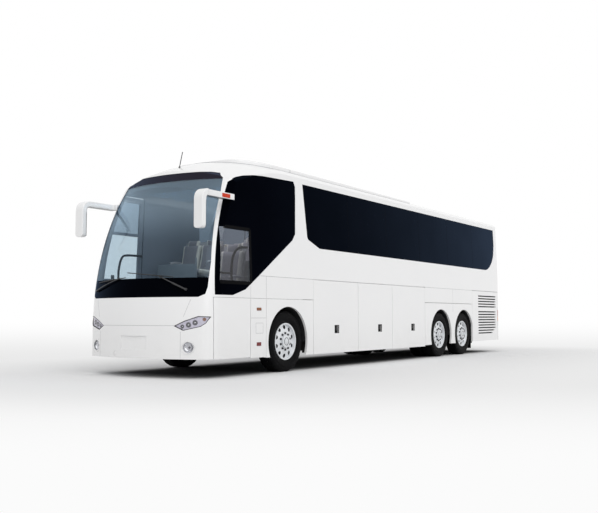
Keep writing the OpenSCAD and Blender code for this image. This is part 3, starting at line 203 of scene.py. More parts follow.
class Piece:
    """Collects the solids of one piece and makes it an object that rides on a body."""

    def __init__(self, name):
        self.name, self.verts, self.faces, self.marks = name, [], [], []

    def add(self, shape, mark=0):
        verts, faces = shape
        n = len(self.verts)
        self.verts.extend([tuple(v) for v in verts])
        self.faces.extend([[n + i for i in f] for f in faces])
        self.marks.extend(mark if isinstance(mark, list) else [mark] * len(faces))
        return self

    def both(self, shape, mark=0):
        return self.add(shape, mark).add(mirrored(shape), mark)

    def make(self, body, materials, slot=None, sharp=38):
        mesh = bpy.data.meshes.new(self.name)
        mesh.from_pydata(self.verts, [], self.faces)
        for m in materials if isinstance(materials, list) else [materials]:
            mesh.materials.append(m)
        mesh.polygons.foreach_set("material_index", self.marks)
        mesh.shade_smooth()
        mesh.set_sharp_from_angle(angle=math.radians(sharp))
        mesh.update()
        obj = show(self.name, mesh)
        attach(obj, body)
        return obj


def skin(*names):
    """Tree of the named nodes' faces, for finding the point of a surface under a ray."""
    verts, faces = [], []
    for name in names:
        mesh = nodes[name].data
        n = len(verts)
        verts.extend(v.co.copy() for v in mesh.vertices)
        faces.extend([n + i for i in p.vertices] for p in mesh.polygons)
    return BVHTree.FromPolygons(verts, faces)


def under(tree, start, way):
    """Point and outward normal where the ray meets the surface, or None."""
    way = Vector(way)
    hit, normal, _, _ = tree.ray_cast(Vector(start), way)
    if hit is None:
        return None
    return hit, (normal if normal.dot(way) < 0 else -normal)


def on_front(tree, x, z, proud=0.0):
    """Point of the surface seen from ahead at x, z, moved out along the normal."""
    found = under(tree, (x, -9, z), (0, 1, 0))
    return found and found[0] + found[1] * proud


def strip(tree, points, width, proud, way, steps):
    """Thin bar laid on the surface along the points. Each point is sought along way."""
    sunk = 0.0015
    verts, path = [], []
    for a, b in zip(points[:-1], points[1:]):
        path += [Vector(a).lerp(Vector(b), k / steps) for k in range(steps)]
    path.append(Vector(points[-1]))
    for i, p in enumerate(path):
        found = under(tree, p - Vector(way) * 3, way)
        if found is None:
            continue
        hit, normal = found
        along = path[min(i + 1, len(path) - 1)] - path[max(i - 1, 0)]
        side = normal.cross(along).normalized() * width / 2
        for out, s in ((-sunk, 1), (proud, 1), (proud, -1), (-sunk, -1)):
            verts.append(hit + normal * out + side * s)
    return closed_bar(verts, 4)


def rgba(value):
    """Colour with full opacity where value is three numbers, or else value itself."""
    return (*value, 1.0) if isinstance(value, tuple) and len(value) == 3 else value


class Graph:
    """Node tree of a new material, or of the world."""

    def __init__(self, name, world=None):
        self.owner = world or bpy.data.materials.new(name)
        self.owner.use_nodes = True
        self.tree = self.owner.node_tree
        self.tree.nodes.clear()
        self.out = self.node("ShaderNodeOutputWorld" if world else "ShaderNodeOutputMaterial")
        self.coord = self.node("ShaderNodeTexCoord").outputs
        self.place = self.facing = None

    def node(self, kind, sockets=None, **values):
        """New node with its input sockets set or linked, and its settings."""
        n = self.tree.nodes.new(kind)
        for key, value in values.items():
            setattr(n, key, value)
        for key, value in (sockets or {}).items():
            self.put(n.inputs[key], value)
        return n

    def put(self, socket, value):
        if isinstance(value, bpy.types.NodeSocket):
            self.tree.links.new(value, socket)
        else:
            socket.default_value = value

    def math(self, op, *values):
        return self.node("ShaderNodeMath", dict(enumerate(values)), operation=op).outputs[0]

    def times(self, a, b):
        return self.math("MULTIPLY", a, b)

    def axis(self, k):
        if self.place is None:
            self.place = self.node("ShaderNodeSeparateXYZ", {0: self.coord["Object"]})
        return self.place.outputs[k]

    def normal(self, k):
        if self.facing is None:
            self.facing = self.node("ShaderNodeSeparateXYZ", {0: self.coord["Normal"]})
        return self.facing.outputs[k]

    def behind(self):
        """1 where a ray meets the surface from its inner side."""
        return self.node("ShaderNodeNewGeometry").outputs["Backfacing"]

    def above(self, a, b):
        return self.math("GREATER_THAN", a, b)

    def below(self, a, b):
        return self.math("LESS_THAN", a, b)

    def between(self, a, lo, hi):
        return self.times(self.above(a, lo), self.below(a, hi))

    def fold(self, op, values):
        out = values[0]
        for value in values[1:]:
            out = self.math(op, out, value)
        return out

    def every(self, *masks):
        return self.fold("MULTIPLY", masks)

    def some(self, *masks):
        return self.fold("MAXIMUM", masks)

    def squares(self, a, b):
        """Sum of two squares."""
        return self.math("ADD", self.times(a, a), self.times(b, b))

    def noise(self, scale, detail=3.0):
        sockets = {"Scale": scale, "Detail": detail, "Vector": self.coord["Object"]}
        return self.node("ShaderNodeTexNoise", sockets).outputs["Fac"]

    def wave(self, direction, scale, distortion=0.0):
        """Fine bands across one direction."""
        sockets = {"Scale": scale, "Distortion": distortion, "Vector": self.coord["Object"]}
        n = self.node("ShaderNodeTexWave", sockets, wave_type="BANDS", bands_direction=direction)
        return n.outputs["Fac"]

    def fade(self, value, start, end, lo=0.0, hi=1.0):
        """Smooth step from lo at start to hi at end."""
        sockets = {"Value": value, "From Min": start, "From Max": end, "To Min": lo, "To Max": hi}
        return self.node("ShaderNodeMapRange", sockets, interpolation_type="SMOOTHSTEP").outputs[0]

    def ramp(self, fac, lo, hi):
        return self.node("ShaderNodeMapRange", {"Value": fac, "To Min": lo, "To Max": hi}).outputs[0]

    def mix(self, fac, a, b):
        colours = {0: fac, 6: rgba(a), 7: rgba(b)}
        return self.node("ShaderNodeMix", colours, data_type="RGBA").outputs[2]

    def bump(self, height, strength, distance):
        sockets = {"Strength": strength, "Distance": distance, "Height": height}
        return self.node("ShaderNodeBump", sockets).outputs[0]

    def principled(self, **values):
        sockets = {key.replace("_", " "): rgba(value) for key, value in values.items()}
        return self.node("ShaderNodeBsdfPrincipled", sockets).outputs[0]

    def shader_mix(self, fac, a, b):
        return self.node("ShaderNodeMixShader", {0: fac, 1: a, 2: b}).outputs[0]

    def shown(self):
        """1 for what the camera sees, straight, mirrored or through glass."""
        path = self.node("ShaderNodeLightPath").outputs
        return self.some(*(path[f"Is {kind} Ray"] for kind in ("Camera", "Glossy", "Transmission")))

    def done(self, shader):
        self.put(self.out.inputs["Surface"], shader)
        return self.owner


def finish_of(name, low, high, rough, scale, metallic=0.0, coat=0.0, grain=0.0, specular=0.5):
    """Surface with a mottled tone, a varying roughness and a fine grain."""
    g = Graph(name)
    tone = g.noise(scale, 4.0)
    values = dict(Base_Color=g.mix(tone, low, high), Roughness=g.ramp(tone, *rough), Metallic=metallic,
                  Coat_Weight=coat, Coat_Roughness=0.08, Specular_IOR_Level=specular)
    if grain:
        values["Normal"] = g.bump(g.noise(300.0, 2.0), grain, 0.002)
    return g.done(g.principled(**values))


WHITES = (0.80, 0.80, 0.805), (0.83, 0.83, 0.83)
SILVERS = (0.60, 0.62, 0.65), (0.82, 0.84, 0.86)


def lacquer(g, base, tone, **more):
    return g.done(g.principled(Base_Color=base, Roughness=g.ramp(tone, 0.26, 0.34), Coat_Weight=0.5,
                               Coat_Roughness=0.06, **more))


def white_paint():
    """White coach paint outside, pale grey trim on the cabin's inner faces, road film low down."""
    g = Graph("white_paint")
    x, y, z = g.axis(0), g.axis(1), g.axis(2)
    nx, ny, nz = g.normal(0), g.normal(1), g.normal(2)
    off_middle = g.math("ABSOLUTE", x)
    # Faces that look into the cabin, found by where they are and which way they look.
    inner_side = g.every(g.below(g.times(nx, x), -0.3), g.above(off_middle, 0.9))
    ceiling = g.every(g.below(nz, -0.3), g.above(z, 2.3), g.below(off_middle, 1.2))
    nose = g.every(g.above(ny, 0.15), g.below(y, -4.9))
    tail = g.every(g.below(ny, -0.4), g.above(y, 5.95))
    # Edges of the window openings behind the outer skin.
    reveal = g.every(g.above(g.math("ABSOLUTE", ny), 0.7), g.below(off_middle, 1.268),
                     g.between(y, -5.0, 5.9), g.between(z, 1.3, 3.0))
    inside = g.some(inner_side, ceiling, nose, tail, reveal)
    tone = g.noise(1.3, 4.0)
    film = g.times(g.ramp(z, 1.0, 0.0), 0.35)
    paint = g.mix(tone, *WHITES)
    paint = g.mix(g.times(film, g.noise(4.0, 6.0)), paint, (0.60, 0.59, 0.57))
    trim = g.mix(ceiling, (0.10, 0.115, 0.14), (0.24, 0.27, 0.31))
    base = g.mix(inside, paint, trim)
    return lacquer(g, base, tone, Normal=g.bump(g.noise(160.0, 1.0), 0.03, 0.002))


def mirror_shell():
    """White mirror housing, black on the side that looks backwards, and painted shade: black on the faces
    under the arm.
    """
    g = Graph("mirror_shell")
    tone = g.noise(2.0, 4.0)
    paint = g.mix(tone, *WHITES)
    # Painted shade: faces that look down from the arm are painted black.
    painted_arm_shade = g.every(g.below(g.normal(2), -0.75), g.above(g.axis(2), 2.5))
    base = g.mix(g.some(g.above(g.normal(1), 0.3), painted_arm_shade), paint, (0.006, 0.006, 0.007))
    return lacquer(g, base, tone)


def rim_steel(axle):
    """Painted wheel disc, with painted shade in and around its hand holes."""
    g = Graph(f"rim_steel_{axle}")
    along = g.math("SUBTRACT", g.axis(1), AXLES[axle])
    up = g.math("SUBTRACT", g.axis(2), AXLE_Z)
    step = 2 * math.pi / HAND_HOLES
    angle = g.math("ARCTAN2", along, up)
    turns = g.math("ROUND", g.math("DIVIDE", angle, step))
    off = g.math("SUBTRACT", angle, g.times(turns, step))
    reach = g.math("SQRT", g.squares(along, up))
    out = g.math("SUBTRACT", g.times(reach, g.math("COSINE", off)), HAND_PITCH_R)
    gap = g.squares(out, g.times(reach, g.math("SINE", off)))
    tone = g.noise(10.0, 4.0)
    # Painted shade: near black within this reach of each hole's middle, wider than the hole itself.
    hole_shade_r = 0.034
    base = g.mix(g.below(gap, hole_shade_r ** 2), g.mix(tone, *SILVERS), (0.004, 0.004, 0.005))
    return g.done(g.principled(Base_Color=base, Roughness=g.ramp(tone, 0.30, 0.42), Metallic=0.2,
                               Coat_Weight=0.2, Normal=g.bump(g.noise(300.0, 2.0), 0.06, 0.002)))


def gloss(g, colour=(1.0, 1.0, 1.0)):
    """Sharp reflection."""
    return g.node("ShaderNodeBsdfGlossy", {"Color": rgba(colour), "Roughness": 0.03}).outputs[0]


def grazing(g, power):
    """Weight that grows from 0 square on to 1 at the edge of view."""
    weight = g.node("ShaderNodeLayerWeight", {"Blend": 0.5})
    return g.math("POWER", weight.outputs["Facing"], power)


def pane(g, tint, base=0.035, edge=0.45, colour=(1.0, 1.0, 1.0)):
    """Thin tinted glass: a clear pass with a reflection that grows towards the edge of view."""
    clear = g.node("ShaderNodeBsdfTransparent", {"Color": rgba(tint)})
    rise = g.times(grazing(g, 4.0), edge)
    return g.shader_mix(g.math("ADD", rise, base), clear.outputs[0], gloss(g, colour))


def black_glass(g, low, high, edge, power):
    """Glass too dark to see through, with a bluish reflection towards the edge of view."""
    tone = g.noise(0.8, 3.0)
    body = g.node("ShaderNodeBsdfDiffuse", {"Color": g.mix(tone, low, high)})
    rise = g.times(grazing(g, power), g.ramp(tone, edge * 0.8, edge * 1.2))
    return g.shader_mix(rise, body.outputs[0], gloss(g, (0.42, 0.62, 1.0)))


def screen_glass():
    """Windscreen: tinted pane whose reflection of the studio is made stronger and bluer towards its top as
    painted reflection, with a dark band above and a black printed band below.
    """
    g = Graph("screen_glass")
    foot_z, half_way_z, head_z = 1.49, 2.5, 3.05
    z = g.axis(2)
    # Painted reflection: the bluish gloss grows from z 2.0 to 2.75.
    painted_reflection_rise = g.fade(z, 2.0, 2.75, 0.015, 0.11)
    clear = pane(g, (0.74, 0.80, 0.84), painted_reflection_rise, 0.40, (0.66, 0.84, 1.0))
    foot = black_glass(g, (0.0008, 0.001, 0.002), (0.002, 0.0024, 0.004), 0.5, 6.0)
    head = black_glass(g, (0.018, 0.016, 0.023), (0.030, 0.027, 0.037), 0.25, 4.0)
    bands = g.shader_mix(g.above(z, half_way_z), foot, head)
    return g.done(g.shader_mix(g.some(g.above(z, head_z), g.below(z, foot_z)), clear, bands))


# Driver's sliding pane: y of its rear edge, z of its lower and upper edge.
SLIDE_Y, SLIDE_LOW, SLIDE_HIGH = -4.90, 1.43, 2.27


def side_glass():
    """Privacy glass, black from outside and tinted from the cabin, with the driver's clear sliding pane."""
    g = Graph("side_glass")
    x, y, z = g.axis(0), g.axis(1), g.axis(2)
    # The pane's front edge leans back with the pillar.
    jamb = g.above(g.math("MULTIPLY_ADD", z, -0.08, y), -5.779)
    slide = g.every(g.above(x, 0.5), jamb, g.below(y, SLIDE_Y), g.between(z, SLIDE_LOW, SLIDE_HIGH))
    dark = black_glass(g, (0.0006, 0.0008, 0.0018), (0.0016, 0.002, 0.004), 1.5, 8.0)
    outside = g.some(g.above(g.times(g.normal(0), x), 0.2),
                     g.above(g.times(g.normal(1), y), 1.5))
    privacy = g.shader_mix(outside, pane(g, (0.41, 0.45, 0.49), 0.01, 0.2), dark)
    return g.done(g.shader_mix(slide, privacy, pane(g, (0.72, 0.73, 0.77), 0.03, 0.2)))


def door_pane():
    """Door glass, clear below and tinted above."""
    g = Graph("door_pane")
    tinted = g.above(g.axis(2), 2.31)
    return g.done(g.shader_mix(tinted, pane(g, (0.93, 0.96, 0.97)), pane(g, (0.60, 0.65, 0.69))))


def lamp_glass():
    """Lamp cover: clear fluted plastic over the pale housing and its bowls."""
    g = Graph("lamp_glass")
    tone = g.mix(g.noise(30.0), (0.50, 0.50, 0.54), (0.66, 0.66, 0.69))
    pale = g.principled(Base_Color=tone, Metallic=0.15, Roughness=0.15, Coat_Weight=0.5,
                        Normal=g.bump(g.wave("X", 22.0), 0.25, 0.004))
    # The normal is turned over for rays from inside, so this turns it back.
    outward = g.times(g.normal(1), g.math("MULTIPLY_ADD", g.behind(), -2.0, 1.0))
    clear = g.times(g.below(outward, -0.1), 0.88)
    return g.done(g.shader_mix(clear, pale, pane(g, (0.97, 0.97, 0.98), 0.03, 0.3)))


def lens(name, deep, bright, scale, coat, specular):
    """Moulded plastic lens with fine prisms."""
    g = Graph(name)
    return g.done(g.principled(Base_Color=g.mix(g.noise(25.0), deep, bright), Roughness=0.12,
                               Specular_IOR_Level=specular, Coat_Weight=coat, Coat_Roughness=0.04,
                               Normal=g.bump(g.wave("Z", scale), 0.35, 0.003)))


def tail_lens():
    """Rear lamp: red above, amber in the middle, clear reversing lamp below."""
    g = Graph("tail_lens")
    z = g.axis(2)
    amber_z, clear_z, seam = 0.93, 0.79, 0.004
    tone = g.noise(20.0)
    red = g.mix(tone, (0.30, 0.008, 0.010), (0.45, 0.015, 0.015))
    amber = g.mix(tone, (0.60, 0.16, 0.01), (0.75, 0.24, 0.02))
    clear = g.mix(tone, (0.55, 0.55, 0.56), (0.70, 0.70, 0.70))
    base = g.mix(g.below(z, amber_z), red, amber)
    base = g.mix(g.below(z, clear_z), base, clear)
    joints = g.some(*(g.between(z, mid - seam, mid + seam) for mid in (amber_z, clear_z)))
    base = g.mix(joints, base, (0.02, 0.02, 0.02))
    return g.done(g.principled(Base_Color=base, Roughness=0.14, Coat_Weight=0.6, Coat_Roughness=0.05,
                               Normal=g.bump(g.wave("Z", 40.0), 0.3, 0.003)))


def marker_lens():
    """Amber side marker above, red reflector below."""
    g = Graph("marker_lens")
    tone = g.noise(45.0, 2.0)
    amber = g.mix(tone, (0.08, 0.020, 0.006), (0.36, 0.10, 0.02))
    red = g.mix(tone, (0.05, 0.002, 0.003), (0.24, 0.008, 0.010))
    between_z = 0.75
    base = g.mix(g.below(g.axis(2), between_z), amber, red)
    return g.done(g.principled(Base_Color=base, Roughness=0.2, Coat_Weight=0.2, Coat_Roughness=0.05))


def cloth(name, low, high):
    """Woven upholstery with a soft nap."""
    g = Graph(name)
    weave = g.times(g.wave("X", 90.0, 1.2), g.wave("Z", 90.0, 1.2))
    tone = g.times(g.math("ADD", g.noise(9.0, 5.0), weave), 0.5)
    return g.done(g.principled(Base_Color=g.mix(tone, low, high), Roughness=0.9, Sheen_Weight=0.3,
                               Normal=g.bump(weave, 0.4, 0.002)))


PAINT = white_paint()
SCREEN = screen_glass()
SIDE_GLASS = side_glass()
DOOR_PANE = door_pane()
LAMP = lamp_glass()
TAIL = tail_lens()
MARKER = marker_lens()
AMBER = lens("amber_lens", (0.17, 0.05, 0.012), (0.30, 0.10, 0.03), 60.0, 0.2, 0.3)
ORANGE = lens("indicator_lens", (0.50, 0.018, 0.002), (0.68, 0.05, 0.004), 90.0, 0.0, 0.15)
BOARD = finish_of("floor_board", (0.10, 0.10, 0.11), (0.15, 0.15, 0.16), (0.55, 0.7), 30.0, grain=0.2)
STEEL = finish_of("chassis_steel", (0.012, 0.012, 0.013), (0.03, 0.029, 0.028), (0.5, 0.75), 9.0, grain=0.15)
PLASTIC = finish_of("black_plastic", (0.010, 0.010, 0.011), (0.022, 0.022, 0.024), (0.45, 0.6), 12.0,
                    grain=0.12)
RUBBER = finish_of("tyre_rubber", (0.0022, 0.0022, 0.0026), (0.006, 0.006, 0.0066), (0.45, 0.6), 14.0,
                   grain=0.2, specular=0.04)
GASKET = finish_of("gasket_rubber", (0.002, 0.002, 0.0025), (0.005, 0.005, 0.006), (0.5, 0.65), 40.0,
                   specular=0.03)
RIMS = {axle: rim_steel(axle) for axle in AXLES}
RIM = finish_of("rim_steel", *SILVERS, (0.30, 0.42), 10.0, metallic=0.2, coat=0.2, grain=0.06)
MIRROR_SHELL = mirror_shell()
NUT = finish_of("nut_steel", (0.010, 0.010, 0.012), (0.030, 0.030, 0.034), (0.35, 0.5), 60.0, metallic=0.3)
MIRROR = finish_of("mirror_face", (0.03, 0.035, 0.04), (0.05, 0.055, 0.06), (0.03, 0.06), 3.0, specular=0.8)
CLOTH = cloth("seat_cloth", (0.11, 0.105, 0.12), (0.19, 0.18, 0.20))
EDGING = cloth("seat_edging", (0.36, 0.34, 0.30), (0.52, 0.50, 0.45))
SHELL = finish_of("seat_shell", (0.20, 0.20, 0.21), (0.27, 0.27, 0.28), (0.45, 0.6), 20.0, grain=0.15)
# Grey of the panel lines: painted shade where the panels meet.
SEAM_SHADE = finish_of("painted_seam_shade", (0.30, 0.30, 0.31), (0.42, 0.42, 0.43), (0.6, 0.7), 50.0)
TRIM = finish_of("cabin_trim", (0.16, 0.18, 0.20), (0.21, 0.23, 0.25), (0.5, 0.65), 8.0, grain=0.15)
CHROME = finish_of("bright_reflector", (0.55, 0.56, 0.58), (0.75, 0.76, 0.78), (0.12, 0.2), 30.0,
                   metallic=0.9)
DARK = finish_of("lamp_well", (0.015, 0.013, 0.020), (0.04, 0.036, 0.05), (0.3, 0.4), 30.0)
HOUSING = finish_of("lamp_housing", (0.50, 0.47, 0.58), (0.72, 0.70, 0.80), (0.18, 0.3), 26.0,
                    metallic=0.3, coat=0.3)

# The solids' materials by slot, then the nodes that have one of their own.
BY_SLOT = {"white_paint": PAINT, "floor_board": BOARD, "chassis_steel": STEEL, "black_plastic": PLASTIC,
           "clear_glass": SCREEN, "dark_glass": SIDE_GLASS, "lamp_lens": LAMP, "red_lens": TAIL,
           "amber_lens": AMBER, "mirror_face": MIRROR, "seat_cloth": CLOTH, "rim_steel": RIM,
           "tyre_rubber": RUBBER}
for obj in nodes.values():
    for held in obj.material_slots:
        key = held.material.name.split(".")[0] if held.material else "white_paint"
        held.material = BY_SLOT.get(key, PAINT)
OWN = {"door_glass": DOOR_PANE, "marker_lamps": MARKER, "mirrors": MIRROR_SHELL}
OWN.update({f"rim_{axle}_{side}": RIMS[axle] for axle in AXLES for _, side in SIDES})
for name, material in OWN.items():
    for held in nodes[name].material_slots:
        held.material = material


def soften(name, width):
    """Rounds the sharp edges of a node when it is shown."""
    obj = nodes[name]
    obj.modifiers.new("weld", "WELD").merge_threshold = 0.0002
    flat = obj.modifiers.new("flat", "DECIMATE")
    flat.decimate_type, flat.angle_limit = "DISSOLVE", math.radians(1)
    bevel = obj.modifiers.new("bevel", "BEVEL")
    bevel.width, bevel.segments = width, 3
    bevel.limit_method, bevel.angle_limit = "ANGLE", math.radians(32)
    obj.modifiers.new("normals", "WEIGHTED_NORMAL").keep_sharp = True


def melt(name, cell, rounds):
    """Rounds a moulded node all over when it is shown: even small faces, then smoothed."""
    obj = nodes[name]
    grid = obj.modifiers.new("grid", "REMESH")
    grid.mode, grid.voxel_size, grid.use_smooth_shade = "VOXEL", cell, True
    even = obj.modifiers.new("even", "SMOOTH")
    even.factor, even.iterations = 0.5, rounds


melt("mirrors", 0.0075, 14)
soften("dashboard", 0.015)
soften("roof_pod", 0.012)


def tyre_profile():
    """Outline of a tyre from one bead over the tread to the other, as (radius, x)."""
    half = [(0.3005, 0.088), (0.302, 0.108), (0.309, 0.118), (0.319, 0.1235),  # bead
            (0.326, 0.1275), (0.331, 0.1275), (0.337, 0.1305), (0.352, 0.1345),  # rim line
            (0.372, 0.1378), (0.392, 0.1393), (0.396, 0.1400), (0.404, 0.1400), (0.408, 0.1393),  # widest
            (0.430, 0.1375), (0.446, 0.1345), (0.450, 0.1350), (0.456, 0.1340), (0.460, 0.1315),
            (0.474, 0.1275), (0.486, 0.1225), (0.494, 0.1160), (0.4985, 0.1070)]  # shoulder
    tread = []
    for c in (0.076, 0.027):  # middles of the long grooves
        tread += [(0.4995, c + 0.0075), (0.4885, c + 0.0055), (0.4885, c - 0.0055), (0.4998, c - 0.0075)]
    right = half + tread
    return right + [(r, -x) for r, x in right[::-1]]


PROFILE = tyre_profile()
TYRE_STEPS, LUG_STEPS = 168, 6
NUTS, NUT_PITCH_R = 10, 0.137


def lugs(k, r, x):
    """Cross grooves at the shoulders and fine cuts across the ribs."""
    shoulder_r, shoulder_x, rib_r = 0.47, 0.088, 0.497
    if r > shoulder_r and abs(x) > shoulder_x:
        return r - (0.010 if k % LUG_STEPS == 0 else 0.0)
    if r > rib_r:
        return r - (0.005 if (k + (LUG_STEPS // 2 if x > 0 else 0)) % LUG_STEPS == 0 else 0.0)
    return r


def wheel(axle, sign, side):
    """Tyres, hub cap, nuts and brake drum of one wheel, or of one pair of twins."""
    body = f"wheel_{axle}_{side}"
    centre = Vector((0, AXLES[axle], AXLE_Z))
    tyres = Piece(f"road_tyre_{axle}_{side}")
    rows = [TYRE_X, TYRE_X - TWIN_PITCH] if axle == "drive" else [TYRE_X]
    for x in rows:
        verts, faces = revolve(PROFILE, TYRE_STEPS, notch=lugs)
        tyres.add(on_side((verts + (x, 0, 0) + np.array(centre), faces), sign))
    obj = tyres.make(body, RUBBER, "tyre_rubber", 50)
    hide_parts(f"tyre_{axle}_{side}")
    tree = skin(f"rim_{axle}_{side}")

    def face(r, a):
        """How far out the rim's face is at radius r and angle a."""
        y, z = centre.y + r * math.cos(a), centre.z + r * math.sin(a)
        found = under(tree, (sign * 2, y, z), (-sign, 0, 0))
        return abs(found[0].x) if found else TYRE_X

    fixings = Piece(f"wheel_fixings_{axle}_{side}")

    def add(shape, x, mark, y=0.0, z=0.0):
        verts, faces = shape
        fixings.add(on_side((verts + (x, centre.y + y, centre.z + z), faces), sign), mark)

    nut = revolve([(0.0, 0.024), (0.010, 0.024), (0.014, 0.021), (0.0165, 0.019), (0.0175, 0.004),
                   (0.022, 0.003), (0.022, -0.004)], 6)
    for k in range(NUTS):
        a = 2 * math.pi * (k + 0.5) / NUTS
        add(nut, face(NUT_PITCH_R, a), 0, NUT_PITCH_R * math.cos(a), NUT_PITCH_R * math.sin(a))
    ring = [(0.066, 0.0), (0.063, 0.0035), (0.059, 0.0035), (0.056, 0.0)]
    add(revolve(ring, 40, close=True), face(0.061, 0.3), 0)
    boss = [(0.0, 0.008), (0.030, 0.008), (0.035, 0.005), (0.036, -0.003)]
    add(revolve(boss, 36), face(0.02, 0.3), 1)
    drum = [(0.150, 0.052), (0.250, 0.046), (0.256, 0.038), (0.256, -0.035), (0.240, -0.040), (0.150, -0.040)]
    add(revolve(drum, 72, close=True), TYRE_X, 2)
    fixings.make(body, [NUT, RIM, STEEL], "rim_steel", 35)


for axle in AXLES:
    for sign, side in SIDES:
        wheel(axle, sign, side)


CLOTH_FRAMES, CLOTH_PRESSURE = 20, 4.0


def stuffed(verts, faces, cap):
    """Swells a pad by a short cloth run with inner pressure. No point moves more than cap."""
    scene = bpy.context.scene
    mesh = bpy.data.meshes.new("pad_cloth")
    mesh.from_pydata([tuple(v) for v in verts], [], faces)
    obj = show("pad_cloth", mesh)
    stuffing = obj.modifiers.new("stuffing", "CLOTH")
    stuffing.settings.use_pressure = True
    stuffing.settings.uniform_pressure_force = CLOTH_PRESSURE
    stuffing.settings.effector_weights.gravity = 0.0
    stuffing.point_cache.frame_start, stuffing.point_cache.frame_end = 1, CLOTH_FRAMES
    for k in range(1, CLOTH_FRAMES + 1):
        scene.frame_set(k)
    shown = obj.evaluated_get(bpy.context.evaluated_depsgraph_get()).to_mesh()
    moved = np.array([tuple(v.co) for v in shown.vertices]) - verts
    bpy.data.objects.remove(obj)
    bpy.data.meshes.remove(mesh)
    scene.frame_set(1)
    length = np.maximum(np.linalg.norm(moved, axis=1, keepdims=True), 1e-9)
    return verts + moved * np.minimum(1.0, cap / length)


PADS = {}  # stuffed forms by size and edge radius, shared by all seats
CHANNEL_DEPTH, CHANNEL_W = 0.012, 0.09


def pad(size, radius, crown, pinch, channels=()):
    """Stuffed cushion: crowned faces, sides drawn in between the corners, sewn channels across the top.
    A channel is (axis, place), with its place as a share of the half size."""
    u, faces = GRIDS[FINE]
    if (size, radius) not in PADS:
        start = rounded((np.array(size) - crown) / 2, radius, FINE)[0]
        verts = stuffed(start, faces, crown)
        # The run draws the cloth in, so the pad is brought back to its width and length.
        verts[:, :2] *= (np.array(size[:2]) - 0.006) / np.ptp(verts[:, :2], axis=0)
        PADS[size, radius] = verts
    verts = PADS[size, radius].copy()
    swell = 0.5 * (1 - u[:, 0] ** 2) * (1 - u[:, 1] ** 2)
    verts[:, 2] += crown * swell * u[:, 2]
    verts[:, 0] -= pinch * (1 - u[:, 1] ** 2) * u[:, 0]
    verts[:, 1] -= pinch * (1 - u[:, 0] ** 2) * u[:, 1]
    for axis, c in channels:
        dip = np.exp(-((u[:, axis] - c) / CHANNEL_W) ** 2) * (u[:, 2] > 0.8)
        verts[:, 2] -= CHANNEL_DEPTH * dip
    return verts, faces


# Faces of a pad that lie on its side bolsters, in a paler cloth.
BOLSTER = [int(abs(GRIDS[FINE][0][f, 0].mean()) > 0.66) for f in GRIDS[FINE][1]]


def seat(cushions, frames, x0, x1, y, z, high, places):
    """Double or single seat in the space of its solid."""
    width = (x1 - x0) / places
    up = high / SEAT_H
    tilt = math.degrees(math.atan2(up, 0.19))  # of the backrest
    for k in range(places):
        mid = x0 + (k + 0.5) * width
        base = pad((width - 0.012, 0.42, 0.10), 0.035, 0.012, 0.006, ((0, -0.62), (0, 0.62), (1, 0.1)))
        cushions.add(turned(base, tipped((mid, y + 0.218, z + 0.385 * up), -2)), BOLSTER)
        back = pad((width - 0.014, 0.62 * up, 0.085), 0.032, 0.010, 0.008, ((0, -0.6), (0, 0.6), (1, -0.15)))
        cushions.add(turned(back, tipped((mid, y + 0.505, z + 0.70 * up), tilt)), BOLSTER)
        head = pad((width * 0.62, 0.19 * up, 0.075), 0.03, 0.010, 0.010)
        cushions.add(turned(head, tipped((mid, y + 0.583, z + 1.018 * up), tilt)), BOLSTER)
    mid = (x0 + x1) / 2
    leg = (x1 - x0) / 10
    neck = leg * 0.7
    tray_z = z + 0.338 * up
    frames.add(box((mid - leg, y + 0.16, z), (mid + leg, y + 0.44, z + 0.03), 0.008))
    frames.add(box((mid - neck, y + 0.22, z + 0.02), (mid + neck, y + 0.38, z + 0.335 * up), 0.012))
    frames.add(box((x0 + 0.01, y + 0.03, tray_z - 0.023), (x1 - 0.01, y + 0.46, tray_z), 0.008))
    shell = rounded(((x1 - x0) / 2 - 0.008, 0.011, 0.36 * up), 0.008)
    frames.add(turned(shell, tipped((mid, y + 0.556, z + 0.72 * up), tilt - 90)))
    for x in (x0 + 0.012, x1 - 0.012):
        arm = [(x, y + 0.47, z + 0.62 * up), (x, y + 0.30, z + 0.625 * up), (x, y + 0.17, z + 0.60 * up)]
        frames.add(tube(smooth_path(arm, 5), 0.018, 10, 1.3))


cushions, frames = Piece("seat_cushions"), Piece("seat_frames")
lo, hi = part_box("seats")
pitch = (hi.y - lo.y - SEAT_DEPTH) / (SEAT_ROWS - 1)
for i in range(SEAT_ROWS):
    for x0, x1 in ((hi.x - SEAT_PAIR_W, hi.x), (lo.x, lo.x + SEAT_PAIR_W)):
        seat(cushions, frames, x0, x1, lo.y + i * pitch, DECK_Z, hi.z - lo.z, 2)
seats = cushions.make("coach", [CLOTH, EDGING], "seat_cloth", 60)
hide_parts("seats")
frames.make("coach", SHELL, "black_plastic")
cushions, frames = Piece("driver_cushions"), Piece("driver_seat_frame")
lo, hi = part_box("driver_seat")
seat(cushions, frames, lo.x, hi.x, lo.y, lo.z, hi.z - lo.z, 1)
chair = cushions.make("coach", [CLOTH, EDGING], "seat_cloth", 60)
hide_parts("driver_seat")
frames.make("coach", SHELL, "black_plastic")


front = skin("windscreen", "front_shell", "front_mask")


def bowed(a, b, steps, proud, bow):
    """Points over the nose from a to b, each (x, z), standing off most in the middle."""
    points = []
    for k in range(steps + 1):
        t = k / steps
        x, z = a[0] + (b[0] - a[0]) * t, a[1] + (b[1] - a[1]) * t
        points.append(on_front(front, x, z, proud + bow * math.sin(math.pi * t)))
    return points


